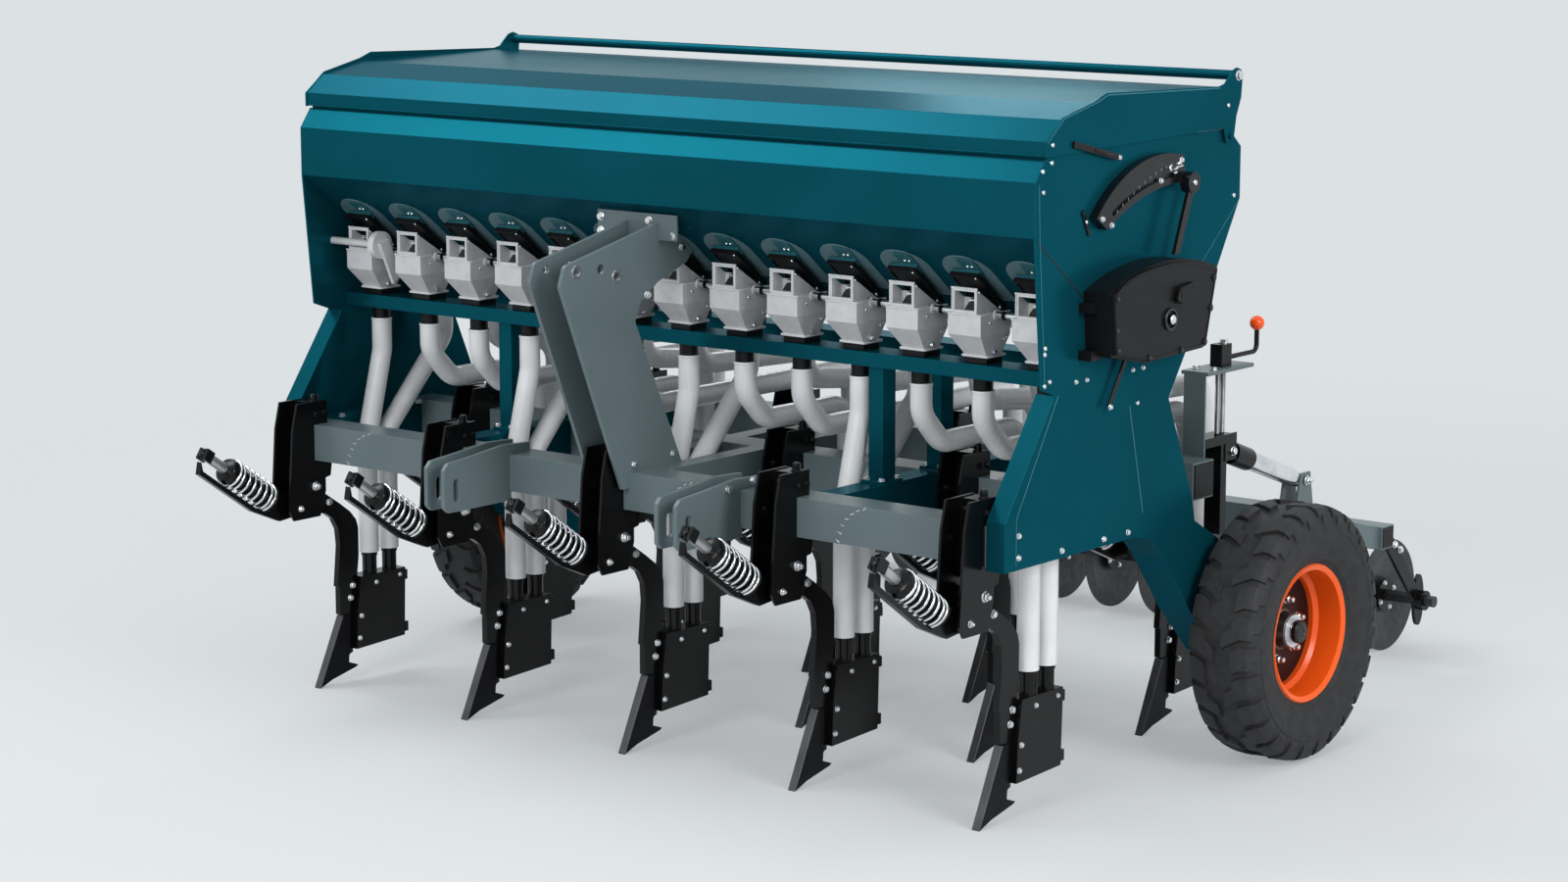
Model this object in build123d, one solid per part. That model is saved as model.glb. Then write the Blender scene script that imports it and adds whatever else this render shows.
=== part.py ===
from build123d import *
from math import atan2, cos, degrees, pi, radians, sin, tan
import os

# Tine seed drill for a three-point hitch, on two carrying wheels, with a rear disc packer.
# Millimetres. X runs across the machine, Y to the rear, Z up, floor at Z = 0.
# Y is counted from the points of the front tines until the parts are written:
# there everything moves so that the origin is on the floor below the middle.

# ---- driving sizes -------------------------------------------------------
tineCount = 13
tinePitch = 230.0            # between two seed rows
rowGap = 490.0               # clear space between two toolbars
rowCount = 3
halfWidth = 1500.0           # middle to outer face of a side plate
plateT = 6.0                 # side plates
sheetT = 4.0                 # hopper and lid sheets

barSize = 120.0              # square toolbars
barTop = 920.0
barLead = 30.0               # toolbar front face ahead of the tine point
rearBarHalf = 1356.0
sideRailWide = 60.0
outerRailX = 772.0           # under the posts of the unit carriers
outerRailWide = 84.0
postWide = 54.0
midRailX = 96.0
midRailWide = 70.0

wheelRadius = 408.0
wheelWidth = 245.0
wheelGap = 14.0              # side plate to tyre
axleY = 1300.0
rimRadius = 228.0
rimT = 6.0
boltCircle = 96.0            # wheel bolts
spindleRadius = 25.0
runningGap = 0.05            # radial clearance of running fits
loosePlay = 0.3              # parts that touch without turning
seatGap = 0.3                # parts that lie on each other

hopperFrontY = 95.0
hopperRearY = 1197.0
frontPanelLow = 1741.0
frontPanelHigh = 1900.0
neckY = 141.0                # top of the front chamfer
neckZ = 1963.0
neckStep = 12.0
rimZ = 1988.0                # top edge of the hopper
rearPanelLow = 1769.0
rearPanelHigh = 1929.0
rearNeckY = 1124.0
troughZ = 1432.0
frontTroughY = 490.0
rearTroughY = 790.0
ridgeY = 515.0
ridgeZ = 1645.0

unitY = 340.0                # front row of metering units
unitRowGap = 300.0           # front row to rear row
unitWidth = 118.0            # lower body of a metering housing
throatWidth = 92.0           # its upper frame
carrierTop = 1325.0
carrierHigh = 44.0
carrierDeep = 110.0
footHigh = 20.0
collarRadius = 30.0
collarLow = 1240.0
hoseRadius = 34.0
hoseBend = 85.0
hoseLow = 437.0
outletT = 4.0
shaftRadius = 11.0
shaftY = -25.0               # drive shaft from the middle of a unit
shaftZ = 150.0               # drive shaft above the carrier

shankT = 22.0
bracketHalf = 45.0           # middle of a tine to the outer face of its bracket
bracketT = 8.0
bootHalf = 31.0
bootWall = 4.0
bootTubeRadius = 25.0
bootTubeY = (258.0, 353.0)
springRadius = 52.0

lidGap = 6.0
lidPivotY = 1116.0
lidPivotZ = 1964.0
lidPinRadius = 8.0
lidTubeRadius = 15.0

packerRadius = 200.0
packerDiscs = 11
packerShaftRadius = 20.0
armX = 1280.0
armWide = 70.0
crossBarSize = 90.0
crossBarTop = 715.0
crossBarHalf = 1340.0
armPivotZ = 645.0
pivotPinRadius = 15.0
rearBarZ = 475.0
rearBarSize = 80.0
towerTop = 1181.0
strutPinRadius = 10.0
strutTubeRadius = 31.0
barrelRadius = 38.0
slideGap = 0.1               # radial clearance of the strut's tube
eyePlay = 1.6                # radial play of the strut's far eye, which drifts on its pin
eyeHalf = 25.0
sideGap = 1.0                # between an eye and the ears beside it

innerX = halfWidth - plateT
rowPitch = barSize + rowGap
barLow = barTop - barSize
barFront = [row * rowPitch - barLead for row in range(rowCount)]
wheelMidX = halfWidth + wheelGap + wheelWidth / 2.0
# places behind the rear toolbar
rearFace = barFront[-1] + barSize
crossBarY = rearFace + 330.0
armPivotY = rearFace + 480.0
rearBarY = rearFace + 1150.0
packerY = rearFace + 1480.0
strutBase = (rearFace + 184.0, 915.0)    # pin of the strut's barrel, y and z
strutEye = (rearFace + 650.0, 752.0)     # pin of the strut's rod
# each seed row: its place across, and the toolbar (0 front, 2 rear) that holds it
seedRows = [((i - (tineCount - 1) / 2.0) * tinePitch, i % rowCount) for i in range(tineCount)]

nodes = {}


def add(name, *shapes):
    nodes.setdefault(name, []).extend(shapes)


def block(xs, ys, zs):
    # a box between two values on each axis
    size = [abs(v[1] - v[0]) for v in (xs, ys, zs)]
    mid = [(v[0] + v[1]) / 2.0 for v in (xs, ys, zs)]
    return Pos(*mid) * Box(*size)


def profileX(points, xa, xb):
    # an outline of (y, z) points, pushed along X
    low, high = sorted((xa, xb))
    return extrude(Plane.YZ.offset(low) * Polygon(*points, align=None), high - low, dir=(1, 0, 0))


def profileY(points, ya, yb):
    # an outline of (x, z) points, pushed along Y
    low, high = sorted((ya, yb))
    return extrude(Plane.XZ.offset(-low) * Polygon(*points, align=None), high - low, dir=(0, 1, 0))


def rod(start, end, radius):
    axis = Vector(*end) - Vector(*start)
    return Solid.make_cylinder(radius, axis.length, Plane(origin=start, z_dir=axis))


def rodX(xa, xb, y, z, radius):
    low, high = sorted((xa, xb))
    return rod((low, y, z), (high, y, z), radius)


def turned(points, x, y, z, side=1):
    # an outline of (x, radius) points, spun about a line across the machine
    ring = Plane.XY * Polygon(*[(side * px, pr) for px, pr in points], align=None)
    return Pos(x, y, z) * revolve(ring, Axis.X, 360)


def folded(points, thick, side):
    # closed outline of a folded sheet: the given line and its mitred offset
    offset = []
    last = len(points) - 1
    for i, (y, z) in enumerate(points):
        before = atan2(z - points[i - 1][1], y - points[i - 1][0]) if i else None
        after = atan2(points[i + 1][1] - z, points[i + 1][0] - y) if i < last else None
        before = after if before is None else before
        after = before if after is None else after
        turn = (after - before + pi) % (2 * pi) - pi
        mean = before + turn / 2.0
        reach = side * thick / cos(turn / 2.0)
        offset.append((y - sin(mean) * reach, z + cos(mean) * reach))
    return list(points) + offset[::-1]


def rounded(points, radius):
    # straight runs joined by tangent arcs
    stops = [Vector(*p) for p in points]
    edges = []
    at = stops[0]
    for before, corner, after in zip(stops, stops[1:], stops[2:]):
        back = (before - corner).normalized()
        on = (after - corner).normalized()
        half = radians(back.get_angle(on)) / 2.0
        start = corner + back * (radius / tan(half))
        end = corner + on * (radius / tan(half))
        mid = corner + (back + on).normalized() * (radius / sin(half) - radius)
        edges += [Line(at, start), ThreePointArc(start, mid, end)]
        at = end
    return Wire(edges + [Line(at, stops[-1])])


# ---- main frame ----------------------------------------------------------
def railsBetween(x, wide, k):
    # a pair of rails from one toolbar to the next
    ys = (barFront[k] + barSize, barFront[k + 1])
    half = wide / 2.0
    return [block((side * x - half, side * x + half), ys, (barLow, barTop)) for side in (-1, 1)]


frameBars = [block((-half, half), (barFront[k], barFront[k] + barSize), (barLow, barTop))
             for k, half in enumerate((innerX, innerX, rearBarHalf))]
for k in range(rowCount - 1):
    frameBars += railsBetween(midRailX, midRailWide, k)
    add("outer_rails", *railsBetween(outerRailX, outerRailWide, k))
add("outer_rails", *railsBetween(innerX - sideRailWide / 2.0, sideRailWide, 0))
add("main_frame", Part() + frameBars)

# ---- side plates, with the legs that carry the wheels --------------------
plateLow = barLow - 10.0
waistFront = (205.0, 1275.0)
flareFront = (barFront[0] - plateT, 935.0)
legFoot = wheelRadius - 110.0
legLine = [(640, plateLow), (725, plateLow - 20), (800, plateLow - 85), (960, 505), (1130, legFoot + 40),
           (1240, legFoot), (1360, legFoot)]
legBack = [(1410, legFoot + 60), (1410, legFoot + 150), (1330, 525), (1115, 712), (975, plateLow)]
plateOutline = [
    (rearNeckY, rimZ), (neckY + neckStep, rimZ), (neckY + neckStep, neckZ), (neckY, neckZ),
    (hopperFrontY, frontPanelHigh), (hopperFrontY, frontPanelLow), (135, 1300), waistFront,
    flareFront, (flareFront[0], plateLow)] + legLine + legBack + [
    (960, 860), (813, 1194), (1060, 1543), (hopperRearY, rearPanelLow), (hopperRearY, rearPanelHigh)]
flangeWide = 60.0
legWide = 110.0
legT = 8.0
legBossRadius = 45.0
spindleOut = 58.0            # spindle end beyond the middle of the wheel
shoulderLong = 18.0
lidPinLong = 18.0
legX = innerX - legWide
for side in (-1, 1):
    plate = profileX(plateOutline, side * innerX, side * halfWidth)
    flangeLine = [waistFront, flareFront, (flareFront[0], plateLow)]
    flange = profileX(folded(flangeLine, plateT, 1), side * (innerX - flangeWide), side * innerX)
    pin = rodX(side * halfWidth, side * (halfWidth + lidPinLong), lidPivotY, lidPivotZ, lidPinRadius)
    add("side_plates", plate + flange + pin)
    web = profileX(legLine + legBack, side * legX, side * (legX + legT))
    skin = profileX(folded(legLine, legT, 1), side * (legX + legT), side * innerX)
    stub = rodX(side * (legX + legT), side * innerX, axleY, wheelRadius, legBossRadius)
    spindle = rodX(side * halfWidth, side * (wheelMidX + spindleOut), axleY, wheelRadius, spindleRadius)
    shoulder = rodX(side * halfWidth, side * (halfWidth + shoulderLong), axleY, wheelRadius, legBossRadius)
    add("wheel_legs", web + skin + stub, spindle + shoulder)

# ---- hopper --------------------------------------------------------------
frontLine = [(neckY + neckStep, rimZ), (neckY + neckStep, neckZ), (neckY, neckZ),
             (hopperFrontY, frontPanelHigh), (hopperFrontY, frontPanelLow), (frontTroughY, troughZ)]
rearLine = [(rearNeckY, rimZ), (hopperRearY, rearPanelHigh), (hopperRearY, rearPanelLow),
            (rearTroughY + 2 * sheetT, troughZ)]
ridgeLine = [(frontTroughY + 2 * sheetT, troughZ), (ridgeY + sheetT, ridgeZ), (rearTroughY, troughZ)]
add("hopper_front", profileX(folded(frontLine, sheetT, 1), -innerX, innerX))
add("hopper_rear", profileX(folded(rearLine, sheetT, -1), -innerX, innerX))
add("hopper_ridge", profileX(folded(ridgeLine, sheetT, -1), -innerX, innerX))

# ---- carriers and the metering units on them -----------------------------
funnelSlope = atan2(frontPanelLow - troughZ, frontTroughY - hopperFrontY)


def funnelZ(y):
    # underside of the front funnel sheet
    return frontPanelLow - (y - hopperFrontY) * tan(funnelSlope)


postDeep = 64.0
postFootDeep = 100.0
postFootT = 8.0
for row in range(2):
    y = unitY + row * unitRowGap
    ys = (y - carrierDeep / 2.0, y + carrierDeep / 2.0)
    carrier = block((-innerX, innerX), ys, (carrierTop - carrierHigh, carrierTop))
    for side in (-1, 1):
        xs = (side * outerRailX - postWide / 2.0, side * outerRailX + postWide / 2.0)
        post = block(xs, (y - postDeep / 2.0, y + postDeep / 2.0), (barTop, carrierTop - carrierHigh))
        footXs = (side * outerRailX - outerRailWide / 2.0, side * outerRailX + outerRailWide / 2.0)
        footYs = (y - postFootDeep / 2.0, y + postFootDeep / 2.0)
        carrier += post + block(footXs, footYs, (barTop, barTop + postFootT))
    add("unit_carriers", carrier)


def ridgeUnder(y):
    # underside of the ridge's rear slope
    fall = atan2(ridgeZ - troughZ, rearTroughY - ridgeY - sheetT)
    return ridgeZ - (y - ridgeY - sheetT) * tan(fall) - sheetT / cos(fall)


# side outline of a metering housing, (y from the foot, z above the carrier)
housingSide = [(-100, 230), (-100, 92), (-42, 28), (36, 28), (54, 84), (46, 140)]
shoulderZ = 158.0            # where the upper frame stands on the lower body
bodyHalf = unitWidth / 2.0
throatHalf = throatWidth / 2.0
footHalf = 40.0
seatHalf = 46.0              # the block a housing stands on
seatTop = 28.0
throatTop = 235.0
housingFront = [(-footHalf, seatTop), (footHalf, seatTop), (bodyHalf, 92), (bodyHalf, shoulderZ - 6),
                (throatHalf, shoulderZ), (throatHalf, throatTop), (-throatHalf, throatTop),
                (-throatHalf, shoulderZ),
                (-bodyHalf, shoulderZ - 6), (-bodyHalf, 92)]
windowHalf = throatHalf - 10.0
gateLong = 183.0
gateWide = 104.0
gateT = 10.0
gateSpot = (-30.0, 219.0)    # middle of a shutter from the foot of its unit
gateStem = (56.0, 46.0)
gateStemY = -40.0
for row in range(2):
    y = unitY + row * unitRowGap
    for x, bar in seedRows:
        here = Pos(x, y, carrierTop)
        side = profileX(housingSide, -bodyHalf, bodyHalf)
        front = profileY(housingFront, -200, 200)
        body = side & front
        body -= block((-windowHalf, windowHalf), (-101, -50), (shoulderZ + 8, 223))
        body += block((-seatHalf, seatHalf), (-seatHalf, seatHalf), (footHigh, seatTop))
        body -= rodX(-bodyHalf - 1, bodyHalf + 1, shaftY, shaftZ, shaftRadius + loosePlay)
        add("metering_housings", here * body)
        foot = block((-footHalf, footHalf), (-footHalf, footHalf), (0, footHigh))
        spout = rod((0, 0, -carrierHigh), (0, 0, collarLow - carrierTop), collarRadius)
        add("unit_feet", here * foot, here * spout)
        sheet = funnelZ if row == 0 else ridgeUnder
        drop = sheet(y + gateSpot[0]) - carrierTop - gateSpot[1]
        under = outletT + seatGap if row == 0 else 0.0
        reach = drop * cos(funnelSlope) - under - seatGap
        gate = Box(gateWide, gateLong, gateT) + Pos(0, gateStemY, reach / 2.0) * Box(*gateStem, reach)
        add("shutters", here * Pos(0, *gateSpot) * Rot(X=-degrees(funnelSlope)) * gate)
    shaft = rodX(-innerX, innerX, y + shaftY, carrierTop + shaftZ, shaftRadius)
    add("meter_shafts", shaft)

# ---- outlets on the funnel, hopper bracket, calibration crank -----------
outletY = 200.0
outletRadius = 88.0
outletLong = 150.0
outletMid = outletY + outletRadius * cos(funnelSlope)
funnelTilt = degrees(funnelSlope)
for x, bar in seedRows:
    flap = Box(outletRadius * 2, outletLong, outletT, align=(Align.CENTER, Align.MIN, Align.CENTER))
    flap += Cylinder(outletRadius, outletT)
    lie = Rot(X=-funnelTilt) * Pos(0, 0, -outletT / 2.0 - seatGap)
    add("outlet_plates", Pos(x, outletMid, funnelZ(outletMid)) * lie * flap)

crankX = seedRows[0][0] + 112.0
crankSpot = (227.7, 1508.0)
crankRadius = 46.0
crankT = 12.0
wheelDisc = rodX(crankX - crankT, crankX + crankT, *crankSpot, crankRadius)
leverLine = [(205.7, 1514), (249.7, 1528), (295.7, 1400), (267.7, 1374)]
lever = profileX(leverLine, crankX + crankT, crankX + 2 * crankT)
stub = rodX(-innerX + seatGap, crankX - crankT, *crankSpot, crankT)
add("calibration_crank", wheelDisc + lever + stub)

# ---- seed hoses ----------------------------------------------------------
# corners of a hose by toolbar, front units then rear units: (share of its way to the rear, height)
hoseTurns = (
    (((0.0, 1130.0), (1.0, 820.0)), ((0.0, 1150.0), (1.0, 850.0))),
    (((0.0, 1145.0), (0.19, 1045.0), (1.0, 1040.0)), ((0.0, 1150.0), (1.0, 1114.0))),
    (((0.0, 1145.0), (0.09, 1045.0), (1.0, 1040.0)), ((0.0, 1150.0), (1.0, 1114.0))),
)
for row in range(2):
    for x, bar in seedRows:
        y0 = unitY + row * unitRowGap
        y1 = bar * rowPitch + bootTubeY[row]
        corners = [(x, y0 + share * (y1 - y0), z) for share, z in hoseTurns[bar][row]]
        path = rounded([(x, y0, collarLow)] + corners + [(x, y1, hoseLow)], hoseBend)
        mouth = Plane(origin=(x, y0, collarLow), z_dir=(0, 0, -1)) * Circle(hoseRadius)
        add("seed_hoses", sweep(mouth, path=path))

# ---- tines ---------------------------------------------------------------
bracketSide = [(-106, 998), (30, 998), (30, barTop), (-barLead, barTop), (-barLead, barLow),
               (50, barLow), (47, 775), (41, 739), (18, 734), (18, 690), (-10, 606), (-130, 606),
               (-150, 640), (-128, 912)]
shankSide = [(-95, 690), (-20, 740), (16, 690), (112, 627), (160, 592), (188, 560), (197, 530),
             (197, 434), (186, 350), (168, 240), (160, 100), (146, 96), (146, 236), (104, 240),
             (104, 335), (96, 339), (110, 480), (104, 537), (81, 578), (45, 602), (-7, 612), (-100, 612)]
pointSide = [(0, 0), (60, 22), (172, 46), (182, 52), (138, 68), (140, 92), (144, 98), (145.7, 98),
             (145.7, 235.7), (114, 235.7)]
bootSide = [(187.9, 362), (400, 362), (392, 122), (161.5, 112), (168.4, 240), (186.4, 350)]
bootHollow = [(200, 176), (380, 176), (380, 90), (190, 90)]
bootTabZ = (134, 318)        # tabs on the boot's rear edge
springTop = (-375.5, 803.6)
springTilt = radians(34.6)
springLong = 200.0


def beside(along, off):
    # a point so far down the spring from its top, and so far above its line
    return (springTop[0] + along * cos(springTilt) + off * sin(springTilt),
            springTop[1] - along * sin(springTilt) + off * cos(springTilt))


cheekX = bracketHalf - bracketT
tinePivots = ((-30, 712, 22), (-100, 644, 18))    # y, z and radius of the bosses between the cheeks
headAlong = -125.0           # pivot of the spring rod's head
headRadius = 24.0
headHalf = 14.0
springRodRadius = 17.0
pointHalf = 14.0
leverSide = [beside(-134, -30), beside(-112, -springRadius), beside(springLong + 1, -springRadius),
             beside(springLong + 1, 20), (-130, 690), (-80, 690), (-80, 615), (-165, 607),
             beside(160, -springRadius - 16), beside(-118, -springRadius - 16)]
for x, bar in seedRows:
    here = Pos(x, bar * rowPitch, 0)
    bracket = profileX(bracketSide, -bracketHalf, -cheekX) + profileX(bracketSide, cheekX, bracketHalf)
    bracket += block((-cheekX, cheekX), (-barLead - bracketT, -barLead), (760, 995))
    bracket += block((-cheekX, cheekX), (-barLead, 30), (barTop, 995))
    add("tine_brackets", here * bracket)
    shank = Part() + [profileX(line, -shankT / 2.0, shankT / 2.0) for line in (shankSide, leverSide)]
    for y, z, radius in tinePivots:
        shank += rodX(-cheekX + seatGap, cheekX - seatGap, y, z, radius)
    add("tine_shanks", here * shank)
    add("tine_points", here * profileX(pointSide, -pointHalf, pointHalf))
    boot = profileX(bootSide, -bootHalf, bootHalf)
    boot -= profileX(bootHollow, -bootHalf + bootWall, bootHalf - bootWall)
    for z in bootTabZ:
        boot += block((-bootHalf, bootHalf), (385, 410), (z, z + 34))
    for y in bootTubeY:
        boot += rod((0, y, 345), (0, y, hoseLow), bootTubeRadius)
    add("seed_boots", here * boot)
    top, low = beside(0, 0), beside(springLong, 0)
    add("trip_springs", here * rod((0,) + top, (0,) + low, springRadius))
    head = beside(headAlong, 0)
    tip = rodX(-headHalf, headHalf, *head, headRadius)
    tip += rod((0,) + head, (0,) + beside(-loosePlay, 0), springRodRadius)
    add("spring_rods", here * tip)

# ---- headstock and lower hitch -------------------------------------------
headX = 62.0
headT = 12.0
headDrop = 7.0               # plates below the funnel
headOutline = [(-315, 1591), (147, funnelZ(147) - headDrop), (284, funnelZ(284) - headDrop), (248, 1550),
               (115, 1503), (28, 1446), (4, 1389), (222, barTop), (-barLead, barTop), (-barLead, 870),
               (-62, 870), (-338, 1530)]
topPin = (-263.0, 1568.0)
topBoreRadius = 12.9
headBores = (topPin + (topBoreRadius,), (-153, 1567, 16), (-80, 1537, topBoreRadius))
noseRound = 20.0
crossPlate = ((-185, 140), (118, 126), (1632, 1712))
add("three_point_hitch", block(*crossPlate))
crossYs = (crossPlate[1][0] - seatGap, crossPlate[1][1] + seatGap)
crossZs = (crossPlate[2][0] - seatGap, crossPlate[2][1] + seatGap)
for side in (-1, 1):
    plate = profileX(headOutline, side * (headX - headT / 2.0), side * (headX + headT / 2.0))
    nose = plate.edges().filter_by(Axis.X).filter_by(lambda e: e.center().Y < -300)
    plate = fillet(nose, noseRound)
    for y, z, radius in headBores:
        plate -= rodX(-200, 200, y, z, radius)
    plate -= block(crossPlate[0], crossYs, crossZs)
    add("three_point_hitch", plate)

hitchX = 478.0
hitchGap = 60.0
hitchT = 14.0
slotY = -280.0
slotZ = (817.0, 863.0)
slotR = 14.6
hitchSide = [(-335, 790), (-315, 772), (-barLead, 772), (-barLead, barTop), (60, barTop), (60, 950),
             (-60, 955), (-200, 940), (-315, 930), (-335, 910)]
for side in (-1, 1):
    for inner in (-1, 1):
        x = side * hitchX + inner * (hitchGap + hitchT) / 2.0
        plate = profileX(hitchSide, x - hitchT / 2.0, x + hitchT / 2.0)
        nose = plate.edges().filter_by(Axis.X).filter_by(lambda e: e.center().Y < -310)
        plate = fillet(nose, noseRound / 2.0)
        for z in slotZ:
            plate -= rodX(x - 20, x + 20, slotY, z, slotR)
        plate -= block((x - 20, x + 20), (slotY - slotR, slotY + slotR), slotZ)
        add("three_point_hitch", plate)

# ---- wheels --------------------------------------------------------------
beadX = wheelWidth * 0.36
treadHalf = wheelWidth / 2.0
discX = -34.0                # wheel disc, inboard of the middle of the rim
discT = 12.0
wellRadius = rimRadius - 38.0
bore = spindleRadius + runningGap
# (x, radius) outlines, x away from the machine
tyreOutline = [(-beadX, rimRadius - 8), (-treadHalf + 6, 0.70 * wheelRadius),
               (-treadHalf, 0.80 * wheelRadius), (-treadHalf + 9, wheelRadius - 34),
               (-treadHalf + 36, wheelRadius - 6), (0, wheelRadius)]
tyreOutline += [(-px, pr) for px, pr in tyreOutline[-2::-1]]
rimLine = [(-beadX, rimRadius - 9), (-beadX + 6, rimRadius - 22), (-beadX + 40, rimRadius - 24),
           (-beadX + 52, wellRadius), (discX + discT + 14, wellRadius), (discX + discT + 26, rimRadius - 24),
           (beadX - 6, rimRadius - 22), (beadX, rimRadius - 9)]
discOut = discX + discT      # its outer face
discRadius = wellRadius - rimT - 0.2
hubOutline = [(discX - 30, bore), (discX - 30, 58), (discX, 58), (discX, discRadius), (discOut, discRadius),
              (discOut, boltCircle + 26), (discOut + 8, boltCircle + 18), (discOut + 8, 62), (discX + 40, 54),
              (34, 52), (34, 38), (58, 36), (62, 30), (62, bore)]
for side, hand in ((-1, "left"), (1, "right")):
    x = side * wheelMidX
    add("tyre_" + hand, turned(tyreOutline, x, axleY, wheelRadius, side))
    add("rim_" + hand, turned(folded(rimLine, rimT, -1), x, axleY, wheelRadius, side))
    add("hub_" + hand, turned(hubOutline, x, axleY, wheelRadius, side))

# ---- lid -----------------------------------------------------------------
lidX = halfWidth + lidGap
lidEndT = 5.0
lidTube = (1155.0, 2148.0)
lidEnd = [(neckY - 10, 1969), (neckY - 10, 2014), (174, 2046), (217, 2080), (386, 2117), (441, 2136),
          (1052, 2120), (1081, 2126), (1125, 2165), (1150, 2172), (1172, 2165), (1181, 2140),
          (1175, 2080), (1150, 2025), (1136, 1950), (1096, 1944), (1078, 1994)]
lidLine = [(neckY - 6, 1972), (neckY - 6, 2014), (neckY + 70, 2072), (386, 2108), (1090, 2116), (1130, 2079)]
lidShell = profileX(folded(lidLine, sheetT, -1), -lidX, lidX)
for side in (-1, 1):
    lidShell += profileX(lidEnd, side * lidX, side * (lidX + lidEndT))
    lidShell -= rodX(side * (lidX - 2), side * (lidX + 20), lidPivotY, lidPivotZ, lidPinRadius + runningGap)

add("hopper_lid", lidShell + rodX(-lidX, lidX, *lidTube, lidTubeRadius))

latchLine = [(262, 2008), (490, 1956), (486, 1938), (258, 1990)]
add("lid_latch", profileX(latchLine, lidX + lidEndT, lidX + lidEndT + 9))

# ---- gearbox and its controls on the right plate -------------------------
gearT = 88.0                 # depth of the case
coverT = 12.0
gearFoot = [(922, 1594), (862, 1350), (545, 1340), (361, 1377), (345, 1566)]


def arched(points, crown, xa, xb):
    # an outline of (y, z) points whose last side, back to the first point, is an arc through the crown
    sides = Polyline(*points)
    top = ThreePointArc(points[-1], crown, points[0])
    return extrude(Plane.YZ.offset(xa) * make_face(Wire([*sides.edges(), top])), xb - xa, dir=(1, 0, 0))


caseX = halfWidth + gearT
case = arched(gearFoot, (640, 1632), halfWidth, caseX)
coverFoot = [(916, 1586), (857, 1357), (547, 1347), (368, 1383), (353, 1559)]
case += arched(coverFoot, (640, 1624), caseX, caseX + coverT)
for z in (1380, 1520):       # mounting tabs on the front edge
    case += block((halfWidth, halfWidth + 46), (322, 376), (z - 14, z + 14))
bossRadius = 11.0
bossSpots = ((372, 1548), (372, 1456), (380, 1396), (548, 1356), (720, 1360), (850, 1370), (896, 1560),
             (880, 1470))
for y, z in bossSpots:
    case += rodX(halfWidth, caseX + coverT + 3, y, z, bossRadius)
gearShaft = (655.0, 1459.0)
coverX = caseX + coverT
ring = rodX(caseX, coverX + 5, *gearShaft, 34) - rodX(coverX, coverX + 6, *gearShaft, 26)
case += ring + rodX(caseX, coverX + 12, *gearShaft, 15)
case += block((caseX, coverX + 18), (690, 770), (1520, 1546))
add("drive_gearbox", case)

quadT = 30.0
quadTop = ((366.0, 1778.0), (580.0, 1918.0), (826.0, 1930.0))
quadLow = ((838.0, 1850.0), (620.0, 1824.0), (420.0, 1740.0))
quadSlot = ((452.0, 1786.0), (610.0, 1852.0), (770.0, 1874.0))
outline = Wire([ThreePointArc(*quadTop), Line(quadTop[2], quadLow[0]), ThreePointArc(*quadLow),
                Line(quadLow[2], quadTop[0])])
quadrant = extrude(Plane.YZ.offset(halfWidth) * make_face(outline), quadT, dir=(1, 0, 0))
slotFace = Plane.YZ.offset(halfWidth + quadT - 9) * SlotArc(ThreePointArc(*quadSlot), 16)
quadrant -= extrude(slotFace, 20, dir=(1, 0, 0))
add("rate_control", quadrant)
hubY = 838.0
hubZ = 1848.0
linkX = halfWidth + 52.0
link = rodX(halfWidth + quadT + loosePlay, halfWidth + 62, hubY, hubZ, 32)
link += profileX([(hubY - 14, hubZ), (hubY + 14, hubZ), (768, 1640), (742, 1640)], linkX - 6, linkX + 6)
add("rate_control", link)

# ---- rear frame and jack towers ------------------------------------------
crossBack = crossBarY + crossBarSize
crossBarLow = crossBarTop - crossBarSize
railTop = barTop - 20.0
railSide = [(rearFace, barLow), (rearFace, railTop), (rearFace + 120, railTop), (crossBarY, crossBarTop),
            (crossBarY, crossBarLow), (crossBarY - 100, crossBarLow)]
lugSide = [(crossBack, crossBarLow), (crossBack, crossBarTop), (armPivotY + 10, armPivotZ + 42),
           (armPivotY + 32, armPivotZ + 22), (armPivotY + 32, armPivotZ - 20)]
lugT = 10.0
armHalf = armWide / 2.0
armBoss = 38.0               # radius about the arm's pivot, and half the depth of the arm
rearFrame = Part() + block((-crossBarHalf, crossBarHalf), (crossBarY, crossBack), (crossBarLow, crossBarTop))
for side in (-1, 1):
    for x, wide in ((outerRailX, outerRailWide), (midRailX, midRailWide)):
        rearFrame += profileX(railSide, side * x - wide / 2.0, side * x + wide / 2.0)
    for wall in (-1, 1):
        near = side * armX + wall * (armHalf + sideGap)
        rearFrame += profileX(lugSide, near, near + wall * lugT)
    reach = armHalf + sideGap + lugT + 4
    rearFrame += rodX(side * armX - reach, side * armX + reach, armPivotY, armPivotZ, pivotPinRadius)
add("rear_frame", rearFrame)

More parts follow.
